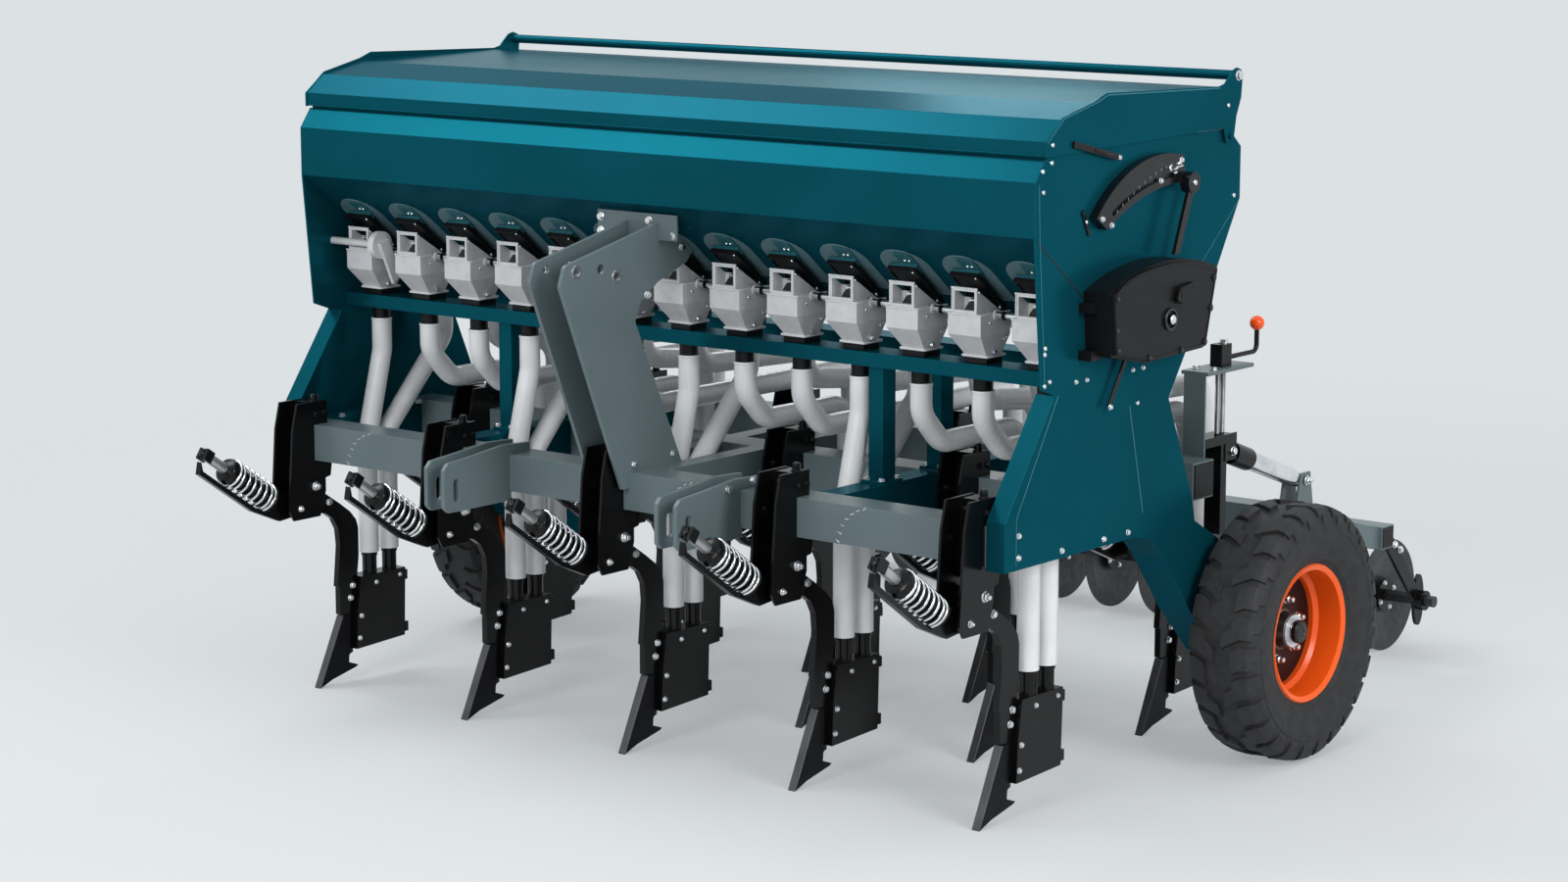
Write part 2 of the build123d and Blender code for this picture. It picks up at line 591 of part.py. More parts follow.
towerHalf = 40.0
towerT = 6.0
towerDeep = 120.0
headDeep = 276.0
headPlateT = 12.0
screwRadius = 9.0
screwY = (rearFace + 139.0, rearFace + 170.0)
liftZ = (strutBase[1] + 29, strutBase[1] + 59)
liftFoot = 650.0
liftBack = screwY[1] + 14
liftEars = ((strutBase[0] - 44, strutBase[0] + 24), (strutBase[1] - 28, liftZ[1]))
crankY = rearFace + 372.0
blockHalf = 22.0
blockY = (screwY[0] - 14, screwY[1] + 14)
crankZ = towerTop + 35.0
knobZ = towerTop + 127.0
knobRadius = 24.0
handleRadius = 8.0
handleBend = 24.0
for side in (-1, 1):
    x = side * armX
    inner = x - side * towerHalf
    tower = block((x - towerHalf, x + towerHalf), (rearFace, rearFace + towerT), (barLow, towerTop))
    tower += block((inner, inner + side * towerT), (rearFace, rearFace + towerDeep), (barLow, towerTop))
    tower += block((x - 50, x + 50), (rearFace, rearFace + headDeep), (towerTop, towerTop + headPlateT))
    add("jack_towers", tower)
    for y in screwY:
        add("jack_screws", rod((x, y, liftZ[1]), (x, y, towerTop), screwRadius))
    slideHalf = towerHalf - towerT - seatGap
    lift = block((x - slideHalf, x + slideHalf), (rearFace + towerT + 14, liftBack), liftZ)
    lift += block((x - 30, x + 30), (rearFace + towerDeep, strutBase[0] - 30), (liftFoot, liftZ[0]))
    for wall in (-1, 1):
        lift += block((x + wall * (eyeHalf + sideGap), x + wall * slideHalf), *liftEars)
    lift += rodX(x - slideHalf - 5, x + slideHalf + 5, *strutBase, strutPinRadius)
    add("lift_slides", lift)
    crank = block((x - blockHalf, x + blockHalf), blockY, (towerTop + headPlateT, towerTop + 84))
    bend = rounded([(x, screwY[1], crankZ), (x, crankY, crankZ), (x, crankY, knobZ)], handleBend)
    grip = Plane(origin=(x, screwY[1], crankZ), z_dir=(0, 1, 0)) * Circle(handleRadius)
    add("jack_cranks", crank + sweep(grip, path=bend))
    knob = Pos(x, crankY, knobZ) * Sphere(knobRadius)
    add("crank_knobs", knob - rod((x, crankY, crankZ), (x, crankY, knobZ), handleRadius))

# ---- packer --------------------------------------------------------------
armSide = [(armPivotY, armPivotZ + armBoss), (rearBarY, rearBarZ + armBoss), (rearBarY, rearBarZ - armBoss),
           (armPivotY, armPivotZ - armBoss)]
earSide = [(strutEye[0] - 30, strutEye[1] + 26), (strutEye[0] + 30, strutEye[1] + 26),
           (strutEye[0] + 70, 560), (strutEye[0] - 70, 600)]
clevisT = 8.0
eyeRadius = 26.0
eyeNeck = 22.0
strutGap = 20.0              # end of the thick tube before the eye
baseRadius = 24.0            # eye at the barrel's end
baseNeck = 20.0
barrelStart = 40.0
barrelLong = 150.0
tubeStart = 95.0             # inner end of the tube, inside the barrel
neckStart = 200.0
strutRun = Vector(0, strutEye[0] - strutBase[0], strutEye[1] - strutBase[1])
strutLong = strutRun.length
strutOn = strutRun.normalized()
rearBarWide = 2.0 * (armX + 50.0)
rearBarMid = (rearBarY + rearBarSize / 2.0, rearBarZ)
packerFrame = Part() + Pos(0, *rearBarMid) * Box(rearBarWide, rearBarSize, rearBarSize)
for side, hand in ((-1, "left"), (1, "right")):
    x = side * armX
    arm = profileX(armSide, x - armHalf, x + armHalf)
    arm += rodX(x - armHalf, x + armHalf, armPivotY, armPivotZ, armBoss)
    arm -= rodX(x - 60, x + 60, armPivotY, armPivotZ, pivotPinRadius + runningGap)
    for wall in (-1, 1):
        near = x + wall * (eyeHalf + sideGap)
        arm += profileX(earSide, near, near + wall * clevisT)
    packerFrame += arm + rodX(x - 40, x + 40, *strutEye, strutPinRadius)
    base = Vector(x, *strutBase)
    barrel = rod(base + strutOn * barrelStart, base + strutOn * barrelLong, barrelRadius)
    barrel += rod(base, base + strutOn * (barrelStart + 2), baseNeck)
    barrel += rodX(x - eyeHalf, x + eyeHalf, *strutBase, baseRadius)
    barrel -= rodX(x - 30, x + 30, *strutBase, strutPinRadius + runningGap)
    hollow = (base + strutOn * (barrelStart + 12), base + strutOn * (barrelLong + 1))
    barrel -= rod(*hollow, strutTubeRadius + slideGap)
    add("strut_barrel_" + hand, barrel)
    tubeEnd = strutLong - eyeRadius - strutGap
    tube = rod(base + strutOn * tubeStart, base + strutOn * tubeEnd, strutTubeRadius)
    tube += rod(base + strutOn * neckStart, base + strutOn * (strutLong - 16), eyeNeck)
    tube += rodX(x - eyeHalf, x + eyeHalf, *strutEye, eyeRadius)
    tube -= rodX(x - 30, x + 30, *strutEye, strutPinRadius + eyePlay)
    add("strut_rod_" + hand, tube)
add("packer_frame", packerFrame)

hangerX = 1290.0
hangerT = 12.0
hangerHalf = 18.0            # half the width of the bar down to the hub
plateHalf = 34.0             # half the width of the oval hub plate
plateLong = 92.0
hubRadius = 44.0
hubHalf = 22.0
hangerBoss = 40.0            # length of the boss that carries the shaft
shaftOut = 74.0              # shaft end beyond the inner face of a hanger
barBack = rearBarY + rearBarSize
hangerSide = [(barBack, rearBarZ + 40), (barBack, rearBarZ - 40), (packerY - hangerHalf, packerRadius - 20),
              (packerY + hangerHalf, packerRadius + 12)]
for side in (-1, 1):
    hanger = profileX(hangerSide, side * hangerX, side * (hangerX + hangerT))
    oval = Plane.YZ.offset(min(side * hangerX, side * (hangerX + hangerT))) * Ellipse(plateHalf, plateLong)
    hanger += Pos(0, packerY, packerRadius) * extrude(oval, hangerT, dir=(1, 0, 0))
    hanger += rodX(side * hangerX, side * (hangerX + hangerBoss), packerY, packerRadius, hubRadius * 0.8)
    hanger -= rodX(side * (hangerX - 10), side * (hangerX + 60), packerY, packerRadius,
                   packerShaftRadius + runningGap)
    add("packer_hangers", hanger)
shaftX = hangerX + shaftOut
add("packer_roller", rodX(-shaftX, shaftX, packerY, packerRadius, packerShaftRadius))
# half a dished disc with its hub, (x, radius)
discLine = [(-3, hubRadius), (0, 70), (14, 150), (18, packerRadius)]
discSheet = 5.0
discBore = packerShaftRadius + seatGap
discOutline = [(-hubHalf, discBore), (-hubHalf, hubRadius)] + discLine + [
    (px + discSheet, pr) for px, pr in reversed(discLine)] + [(hubHalf, hubRadius), (hubHalf, discBore)]
for k in range(packerDiscs):
    x = (k - (packerDiscs - 1) / 2.0) * tinePitch
    add("packer_roller", turned(discOutline, x, packerY, packerRadius))

# ---- write the parts, with the origin on the floor below the middle ------
reach = Compound([shape for shapes in nodes.values() for shape in shapes]).bounding_box()
toMiddle = Pos(0, -(reach.min.Y + reach.max.Y) / 2.0, 0)
os.makedirs("parts", exist_ok=True)
for name, shapes in nodes.items():
    export_step(toMiddle * Compound(shapes), "parts/" + name + ".step")
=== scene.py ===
import math

import bmesh
import bpy
from mathutils import Matrix, Vector


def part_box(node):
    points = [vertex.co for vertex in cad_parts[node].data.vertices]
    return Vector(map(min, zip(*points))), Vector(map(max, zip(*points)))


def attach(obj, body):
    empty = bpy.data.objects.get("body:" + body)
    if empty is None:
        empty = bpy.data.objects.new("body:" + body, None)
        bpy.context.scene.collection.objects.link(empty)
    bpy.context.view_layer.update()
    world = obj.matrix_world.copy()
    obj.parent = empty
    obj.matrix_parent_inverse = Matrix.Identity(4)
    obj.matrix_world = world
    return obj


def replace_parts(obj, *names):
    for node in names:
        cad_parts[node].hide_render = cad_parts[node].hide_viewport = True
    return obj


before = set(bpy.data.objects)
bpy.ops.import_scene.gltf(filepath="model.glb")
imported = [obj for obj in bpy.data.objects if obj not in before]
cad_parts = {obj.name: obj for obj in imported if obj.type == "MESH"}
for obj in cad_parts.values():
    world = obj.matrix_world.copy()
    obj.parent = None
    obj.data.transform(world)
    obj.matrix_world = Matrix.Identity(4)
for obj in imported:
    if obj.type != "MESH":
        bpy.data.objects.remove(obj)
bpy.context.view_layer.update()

scene = bpy.context.scene
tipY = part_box("tine_points")[0].y  # the front tine tips, from which the machine is laid out


def mm(x, y, z):
    # a spot in millimetres, counted to the rear from the front tine tips
    return Vector((x / 1000.0, y / 1000.0 + tipY, z / 1000.0))


def middleOf(node):
    low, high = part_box(node)
    return (Vector(low) + Vector(high)) / 2


def cornersOf(node):
    # both corners of a node's box, in the millimetres that mm takes
    return [(Vector(corner) - Vector((0, tipY, 0))) * 1000.0 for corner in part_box(node)]


studio = {
    "cameraSpot": (7174.67, -8102.25, 2896.35),
    "cameraTurn": (80.088, 0.0, 38.796),
    "lens": 80.76,
    "farthest": 400.0,
    "floorSize": 240.0,
    "floorColour": (0.66, 0.675, 0.69, 1),
    "floorRoughness": 0.7,
    "floorGloss": 0.2,
    "backColour": (0.716, 0.752, 0.770, 1),
    "fadeStart": 2.6,  # metres from the middle, where the floor turns into the backdrop
    "fadeEnd": 8.0,
    "softShadow": 0.4,  # share of the backdrop in the floor near the machine
    "roomColour": (0.93, 0.97, 1.0, 1),
    "roomLight": 0.58,
}

lamps = [  # name, where it hangs (m), where it points, width, height, watts
    ("lampSlope", (-7.8, 0.5, 11.0), (0.0, -1.1, 2.0), 3.0, 4.5, 270),
    ("lampChamfer", (-7.8, -4.7, 10.3), (0.0, -1.1, 1.9), 3.0, 4.5, 290),
    ("lampSheen", (-5.0, 7.6, 5.5), (0.6, -0.4, 2.1), 1.6, 1.0, 60),
    ("lampFront", (2.0, -10.0, 6.0), (0.0, -1.0, 1.0), 5.0, 3.0, 400),
    ("lampRight", (10.0, -2.0, 5.0), (0.5, 0.0, 1.0), 4.0, 4.0, 480),
    ("lampOver", (1.5, 0.0, 9.5), (0.0, 0.0, 0.0), 7.0, 7.0, 130),
]

camera = bpy.data.objects.new("camera", bpy.data.cameras.new("camera"))
scene.collection.objects.link(camera)
camera.location = mm(*studio["cameraSpot"])
camera.rotation_euler = [math.radians(angle) for angle in studio["cameraTurn"]]
camera.data.lens = studio["lens"]
camera.data.clip_end = studio["farthest"]
scene.camera = camera

for name, spot, target, wide, high, watts in lamps:
    lamp = bpy.data.objects.new(name, bpy.data.lights.new(name, "AREA"))
    lamp.data.shape = "RECTANGLE"
    lamp.data.size = wide
    lamp.data.size_y = high
    lamp.data.energy = watts
    lamp.location = spot
    lamp.rotation_euler = (Vector(target) - Vector(spot)).to_track_quat("-Z", "Y").to_euler()
    scene.collection.objects.link(lamp)

scene.view_settings.view_transform = "Standard"
print("camera and lamps set")


class Shade:
    # one output socket of a node; maths on it adds Math nodes

    def __init__(self, tree, socket=None):
        self.tree = tree
        self.socket = socket

    def node(self, kind, settings=None, inputs=None, out=0):
        made = self.tree.nodes.new(kind)
        for key, value in (settings or {}).items():
            setattr(made, key, value)
        for key, value in (inputs or {}).items():
            if isinstance(value, Shade):
                self.tree.links.new(value.socket, made.inputs[key])
            else:
                made.inputs[key].default_value = value
        return Shade(self.tree, made.outputs[out])

    def maths(self, operation, first, second):
        return self.node("ShaderNodeMath", {"operation": operation}, {0: first, 1: second})

    def __add__(self, other):
        return self.maths("ADD", self, other)

    def __sub__(self, other):
        return self.maths("SUBTRACT", self, other)

    def __rsub__(self, other):
        return self.maths("SUBTRACT", other, self)

    def __mul__(self, other):
        return self.maths("MULTIPLY", self, other)

    __radd__ = __add__
    __rmul__ = __mul__

    def steps(self, low, high):
        # 0 below low, 1 above high, smooth between
        return self.node("ShaderNodeMapRange", {"interpolation_type": "SMOOTHSTEP"},
                         {"Value": self, "From Min": low, "From Max": high})

    def between(self, first, second):
        # a colour from the first to the second as this value goes from 0 to 1
        return self.node("ShaderNodeMix", {"data_type": "RGBA"}, {"Factor": self, 6: first, 7: second}, 2)

    def vectors(self, operation, first, second=(0, 0, 0), out=0):
        return self.node("ShaderNodeVectorMath", {"operation": operation}, {0: first, 1: second}, out)

    def place(self):
        return self.node("ShaderNodeTexCoord", out=3)

    def spots(self, scale, detail=2.0, roughness=0.5, stretch=(1, 1, 1)):
        where = self.node("ShaderNodeMapping", {}, {"Vector": self.place(), "Scale": stretch})
        return self.node("ShaderNodeTexNoise", {}, {"Vector": where, "Scale": scale, "Detail": detail,
                                                     "Roughness": roughness})

    def rings(self, centre, scale):
        # uneven rings about a line across the machine
        flat = self.vectors("MULTIPLY", self.vectors("SUBTRACT", self.place(), centre), (0, 1, 1))
        radius = self.vectors("LENGTH", flat, out=1)
        return self.node("ShaderNodeTexNoise", {"noise_dimensions": "1D"}, {"W": radius, "Scale": scale})

    def rounded(self, radius):
        return self.node("ShaderNodeBevel", {"samples": 4}, {"Radius": radius})

    def onEdges(self, radius, low, high):
        # 1 on sharp edges, 0 on flat faces
        flat = self.node("ShaderNodeNewGeometry", out=3)
        return (1.0 - self.vectors("DOT_PRODUCT", self.rounded(radius), flat, 1)).steps(low, high)

    def relief(self, radius, height, distance):
        # small roundings on sharp edges, with a fine surface relief on top
        return self.node("ShaderNodeBump", {}, {"Strength": 1.0, "Distance": distance, "Height": height,
                                                "Normal": self.rounded(radius)})

    def seen(self):
        # 1 for rays from the camera, off a glossy face or through glass
        path = self.tree.nodes.new("ShaderNodeLightPath")
        direct, glossy, clear = [Shade(self.tree, path.outputs[ray])
                                 for ray in ("Is Camera Ray", "Is Glossy Ray", "Is Transmission Ray")]
        return direct + glossy + clear


def tinted(colour, share):
    # a colour made lighter (over 1) or darker (under 1)
    return tuple(min(1.0, c * share) for c in colour[:3]) + (1,)


def uneven(mask, colour, low, high):
    # a colour that wanders between two shades of itself
    return mask.between(tinted(colour, low), tinted(colour, high))


def finish(name, build, level=0.5, flake=0.0, edge=(1, 1, 1, 1)):
    # a material whose build returns the sockets that change over the surface
    material = bpy.data.materials.new(name)
    material.use_nodes = True
    tree = material.node_tree
    shader = tree.nodes["Principled BSDF"]
    shader.inputs["Specular IOR Level"].default_value = level
    shader.inputs["Specular Tint"].default_value = edge
    shader.inputs["Metallic"].default_value = flake
    for key, value in build(Shade(tree)).items():
        tree.links.new(value.socket, shader.inputs[key])
    return material


def paint(name, colour, roughness, level=0.3, flake=0.0, edge=(1, 1, 1, 1)):
    # sprayed paint: faint cloudiness, orange peel, and a painted highlight on the edges
    def build(s):
        clouds = s.spots(1.7, 3.0)
        film = s.spots(160.0)
        body = uneven(clouds.steps(0.35, 0.65), colour, 0.93, 1.07)
        return {
            # the base colour turns paler on sharp edges: a painted highlight along every edge
            "Base Color": (s.onEdges(0.003, 0.015, 0.16) * 0.55).between(body, tinted(colour, 2.1)),
            "Roughness": roughness - 0.05 + clouds * 0.10,
            "Normal": s.relief(0.0022, film, 0.00012),
        }
    return finish(name, build, level, flake, edge)


def metal(name, colour, roughness, grain=220.0, relief=0.00004):
    # bare or plated metal: fine grain and slightly uneven sheen
    def build(s):
        grainy = s.spots(grain, 3.0, 0.6)
        cloudy = s.spots(14.0)
        return {
            "Base Color": uneven(cloudy.steps(0.3, 0.7), colour, 0.86, 1.08),
            "Roughness": roughness - 0.06 + grainy * 0.12 + cloudy * 0.04,
            "Normal": s.relief(0.0012, grainy, relief),
        }
    return finish(name, build, flake=1.0)


def casting(name, colour):
    # shot-blasted die casting: grey, matt, with a painted highlight on its edges and a fine sand grain
    def build(s):
        sand = s.spots(900.0, 3.0, 0.7)
        flow = s.spots(22.0, 4.0, 0.6)
        body = uneven(flow.steps(0.25, 0.75), colour, 0.9, 1.06)
        return {
            # the base colour turns much paler on sharp edges: a painted highlight along every edge
            "Base Color": (s.onEdges(0.0025, 0.01, 0.12) * 0.8).between(body, tinted(colour, 1.6)),
            "Metallic": flow * 0.15 + 0.05,
            "Roughness": sand * 0.15 + 0.36,
            "Normal": s.relief(0.0016, sand, 0.0003),
        }
    return finish(name, build)


def plastic(name, colour, roughness, texture=500.0, relief=0.00015, level=0.4):
    # moulded plastic with a fine spark-eroded texture
    def build(s):
        fine = s.spots(texture, 2.0, 0.6)
        wide = s.spots(9.0)
        return {
            "Base Color": uneven(wide.steps(0.3, 0.7), colour, 0.9, 1.15),
            "Roughness": roughness - 0.05 + fine * 0.12,
            "Normal": s.relief(0.0016, fine, relief),
        }
    return finish(name, build, level)


def hosePlastic(name, colour):
    # smooth extruded hose: pale, with faint lines along its run
    def build(s):
        lines = s.spots(60.0, stretch=(1, 1, 0.06))
        cloud = s.spots(6.0)
        return {
            "Base Color": uneven(cloud.steps(0.3, 0.7), colour, 0.92, 1.05),
            "Roughness": lines * 0.12 + 0.2,
            "Normal": s.node("ShaderNodeBump", {}, {"Strength": 0.35, "Distance": 0.0006, "Height": lines}),
        }
    return finish(name, build)


def turnedSteel(name, colour, centre):
    # steel with fine rings left by turning, and scale in patches
    def build(s):
        rings = s.rings(centre, 650.0)
        scale = s.spots(30.0, 4.0, 0.65)
        return {
            "Base Color": uneven(scale.steps(0.35, 0.7), colour, 0.75, 1.25),
            "Roughness": 0.33 + rings * 0.14,
            "Metallic": scale * 0.3 + 0.55,
            "Normal": s.relief(0.0012, rings, 0.0002),
        }
    return finish(name, build)


def discPaint(name, colour, centre):
    # painted wheel disc, with faint pressing rings and a little dust
    def build(s):
        dust = s.spots(18.0, 4.0, 0.6)
        return {
            "Base Color": dust.steps(0.4, 0.8).between(colour, tinted(colour, 2.2)),
            "Roughness": dust * 0.15 + 0.3,
            "Normal": s.relief(0.0016, s.rings(centre, 120.0), 0.0003),
        }
    return finish(name, build, level=0.3)


def rubber(name, colour, centre):
    # tyre compound: matt black, a dusty bloom, fine moulding rings on the side walls
    def build(s):
        bloom = s.spots(26.0, 5.0, 0.7)
        fine = s.spots(420.0)
        return {
            "Base Color": uneven(bloom.steps(0.3, 0.75), colour, 0.8, 1.45),
            "Roughness": fine * 0.12 + 0.62,
            "Normal": s.relief(0.002, s.rings(centre, 260.0) * 0.6 + fine * 0.5, 0.0005),
        }
    return finish(name, build, level=0.35)


wheelCentre = middleOf("rim_right")
packerCentre = middleOf("packer_roller")

tealPaint = paint("tealPaint", (0.0035, 0.072, 0.1, 1), 0.24, level=0.02, flake=0.5, edge=(0.1, 0.5, 0.6, 1))
# a lighter copy of the teal paint for the fold and seam strips: a painted highlight along them
tealPaintedHighlight = paint("tealPaintedHighlight", (0.012, 0.115, 0.150, 1), 0.24)
guidePaint = paint("guidePaint", (0.012, 0.085, 0.105, 1), 0.3)
greyPaint = paint("greyPaint", (0.112, 0.150, 0.161, 1), 0.30, level=0.25)
darkGreyPaint = paint("darkGreyPaint", (0.080, 0.148, 0.165, 1), 0.34, level=0.2)
blackPaint = paint("blackPaint", (0.0028, 0.0028, 0.0030, 1), 0.22, level=0.25)
orangePaint = paint("orangePaint", (0.90, 0.105, 0.006, 1), 0.26, level=0.4)
wornSteel = metal("wornSteel", (0.016, 0.016, 0.018, 1), 0.34, grain=160.0, relief=0.00012)
wornEdge = metal("wornEdge", (0.11, 0.11, 0.115, 1), 0.34, grain=60.0)
zincPlate = metal("zincPlate", (0.84, 0.85, 0.87, 1), 0.22)
chromePlate = metal("chromePlate", (0.80, 0.81, 0.83, 1), 0.13)
satinSteel = metal("satinSteel", (0.50, 0.505, 0.515, 1), 0.34, grain=90.0)
naveSteel = metal("naveSteel", (0.17, 0.172, 0.178, 1), 0.42, grain=60.0)
# pale metal for the weld bead marks: a painted highlight on each bead
weldPaintedHighlight = metal("weldPaintedHighlight", (0.62, 0.64, 0.65, 1), 0.3, grain=60.0)
castMetal = casting("castMetal", (0.60, 0.605, 0.615, 1))
blackMoulding = plastic("blackMoulding", (0.0045, 0.0045, 0.005, 1), 0.34, level=0.2)
glossMoulding = plastic("glossMoulding", (0.004, 0.004, 0.0045, 1), 0.22, texture=900.0, relief=0.00005)
sealBlack = plastic("sealBlack", (0.004, 0.005, 0.006, 1), 0.5)
satinBlack = plastic("satinBlack", (0.02, 0.02, 0.021, 1), 0.3, texture=300.0, relief=0.00005)
orangeKnob = plastic("orangeKnob", (0.95, 0.085, 0.004, 1), 0.18, texture=900.0, relief=0.00003, level=0.5)
paleHose = hosePlastic("paleHose", (0.74, 0.745, 0.75, 1))
discSteel = turnedSteel("discSteel", (0.055, 0.056, 0.060, 1), packerCentre)
wheelDisc = discPaint("wheelDisc", (0.004, 0.004, 0.004, 1), wheelCentre)
tyreRubber = rubber("tyreRubber", (0.020, 0.020, 0.021, 1), wheelCentre)

finishUse = {  # each finish: a slot name for the pieces added in it, which nothing here reads, and the CAD nodes that wear it
    tealPaint: ("teal", "hopper_front", "hopper_lid", "hopper_rear", "hopper_ridge", "outer_rails",
                "side_plates", "unit_carriers", "wheel_legs"),
    tealPaintedHighlight: ("teal",),
    guidePaint: ("teal",),
    greyPaint: ("frame_grey", "main_frame", "three_point_hitch", "rear_frame", "jack_towers", "packer_frame"),
    weldPaintedHighlight: ("frame_grey",),
    darkGreyPaint: ("frame_grey", "outlet_plates"),
    blackPaint: ("black_steel", "tine_brackets", "tine_shanks", "seed_boots", "jack_cranks", "lid_latch",
                 "lift_slides", "packer_hangers", "strut_barrel_left", "strut_barrel_right"),
    wornSteel: ("black_steel", "tine_points"),
    orangePaint: ("orange_paint", "rim_left", "rim_right"),
    wornEdge: ("wear_steel",),
    zincPlate: ("zinc", "meter_shafts", "spring_rods", "jack_screws", "trip_springs"),
    satinSteel: ("zinc",),
    naveSteel: ("zinc",),
    chromePlate: ("chrome", "strut_rod_left", "strut_rod_right"),
    castMetal: ("casting", "metering_housings", "calibration_crank"),
    wheelDisc: ("black_steel", "hub_left", "hub_right"),
    blackMoulding: ("black_plastic", "shutters", "unit_feet", "drive_gearbox"),
    glossMoulding: ("black_plastic", "rate_control"),
    sealBlack: ("black_plastic",),
    satinBlack: ("black_plastic",),
    orangeKnob: ("orange_paint", "crank_knobs"),
    paleHose: ("hose", "seed_hoses"),
    discSteel: ("black_steel", "packer_roller"),
    tyreRubber: ("tyre", "tyre_left", "tyre_right"),
}
for material, (slot, *names) in finishUse.items():
    for name in names:
        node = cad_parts[name]
        node.data.materials.clear()
        node.data.materials.append(material)
print("materials on the frame")


def put(x, y, z, axis=(0, 0, 1), roll=0.0, size=1.0):
    # from a shape in millimetres along Z to its place on the machine
    turn = Vector(axis).to_track_quat("Z", "Y").to_matrix().to_4x4() @ Matrix.Rotation(roll, 4, "Z")
    return Matrix.Translation(mm(x, y, z)) @ turn @ Matrix.Scale(size / 1000.0, 4)


def sideOn(x):
    # from an outline in (y, z) millimetres to a plate that stands at x and grows towards +X
    turn = Matrix(((0, 0, 1, 0), (1, 0, 0, 0), (0, 1, 0, 0), (0, 0, 0, 1)))
    return Matrix.Translation(mm(x, 0, 0)) @ turn @ Matrix.Scale(0.001, 4)


def spun(line, steps):
    # a (radius, height) line spun about Z
    bm = bmesh.new()
    ring = [bm.verts.new((radius, 0, height)) for radius, height in line]
    edges = [bm.edges.new(pair) for pair in zip(ring, ring[1:])]
    bmesh.ops.spin(bm, geom=ring + edges, cent=(0, 0, 0), axis=(0, 0, 1), angle=2 * math.pi, steps=steps,
                   use_merge=True)
    return bm


def lathe(line, steps):
    # a spun line that is shut on the axis
    bm = spun(line, steps)
    bmesh.ops.remove_doubles(bm, verts=bm.verts, dist=0.0005)
    bmesh.ops.recalc_face_normals(bm, faces=bm.faces)
    return asShape(bm)


def slab(outline, thick, chamfer=0.0, low=0.0):
    # an outline pushed up along Z, its edges taken off
    bm = bmesh.new()
    face = bm.faces.new([bm.verts.new((a, b, 0)) for a, b in outline])
    grown = bmesh.ops.extrude_face_region(bm, geom=[face], use_keep_orig=True)
    top = [item for item in grown["geom"] if isinstance(item, bmesh.types.BMVert)]
    bmesh.ops.translate(bm, vec=(0, 0, thick), verts=top)
    if chamfer:
        bmesh.ops.bevel(bm, geom=bm.edges[:], offset=chamfer, segments=1, profile=0.5, affect="EDGES",
                        material=-1)
    bmesh.ops.recalc_face_normals(bm, faces=bm.faces)
    bmesh.ops.translate(bm, vec=(0, 0, low), verts=bm.verts)
    return asShape(bm)


def brick(xs, ys, zs, chamfer=0.0):
    # a block between two values on each axis, in millimetres
    (west, east), (near, far), (low, high) = xs, ys, zs
    return slab([(west, near), (east, near), (east, far), (west, far)], high - low, chamfer, low)


def strip(start, end, wide, thick, chamfer=0.6):
    # a thin straight strip in (y, z) millimetres, pushed along X
    (ya, za), (yb, zb) = start, end
    half = wide / 2 / math.hypot(yb - ya, zb - za)
    ny, nz = (za - zb) * half, (yb - ya) * half
    outline = [(ya - ny, za - nz), (yb - ny, zb - nz), (yb + ny, zb + nz), (ya + ny, za + nz)]
    return slab(outline, thick, chamfer)


def asShape(bm):
    # a finished bmesh kept as a mesh, ready to be stamped
    shape = bpy.data.meshes.new("shape")
    bm.to_mesh(shape)
    bm.free()
    return shape


def gathered(pairs):
    # one bmesh from (shape, places) pairs, with a copy of the shape at each of its places
    bm = bmesh.new()
    for shape, places in pairs:
        for place in places:
            copy = shape.copy()
            copy.transform(place)
            bm.from_mesh(copy)
            bpy.data.meshes.remove(copy)
    return bm


def addPiece(name, bm, material, body="frame", sharp=32.0):
    mesh = bpy.data.meshes.new(name)
    bm.to_mesh(mesh)
    bm.free()
    mesh.materials.append(material)
    mesh.polygons.foreach_set("use_smooth", [True] * len(mesh.polygons))
    mesh.set_sharp_from_angle(angle=math.radians(sharp))
    piece = bpy.data.objects.new(name, mesh)
    scene.collection.objects.link(piece)
    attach(piece, body)
    return piece


def addPairs(name, pairs, material, body="frame", sharp=32.0):
    return addPiece(name, gathered(pairs), material, body, sharp)


def addBothSides(name, shapes, x, material, body="frame"):
    # outlines that lie on the outer face at x, and mirrored at -x
    flip = Matrix.Scale(-1, 4, (1, 0, 0))
    bm = gathered([(shape, [sideOn(x), flip @ sideOn(x)]) for shape in shapes])
    bmesh.ops.recalc_face_normals(bm, faces=bm.faces)
    addPiece(name, bm, material, body)


layout = {
    "seedLines": 13,
    "linePitch": 230.0,
    "barPitch": 610.0,
    "unitRows": (340.0, 640.0),  # y of the two rows of metering units
}
lineX = [(k - layout["seedLines"] // 2) * layout["linePitch"] for k in range(layout["seedLines"])]
tines = [(x, k % 3 * layout["barPitch"]) for k, x in enumerate(lineX)]  # three toolbars take turns
unitSpots = [(x, y) for y in layout["unitRows"] for x in lineX]
plateX = cornersOf("drive_gearbox")[0].x  # outer face of the right side plate
carrierTop = cornersOf("unit_carriers")[1].z

bolt = {  # an M16 bolt; lines are (radius, height)
    "washer": [(0, 0), (15, 0), (15, 2.5), (0, 2.5)],
    "hexagon": [(0, 2.5), (12.8, 2.5), (12.8, 9.8), (11.2, 11.6), (0, 11.6)],
    "stud": [(7.6, 11.0), (7.6, 18.0), (5.6, 20.5), (0, 20.8)],
    "dome": [(0, 0), (10, 0), (10, 2.5), (8.4, 5.6), (4.6, 7.6), (0, 8.2)],
    "turn": 0.37,  # each hexagon stands this much further round than the one before
}
washer = lathe(bolt["washer"], 14)
hexHead = lathe(bolt["hexagon"], 6)
studEnd = lathe(bolt["stud"], 10)
domeHead = lathe(bolt["dome"], 12)


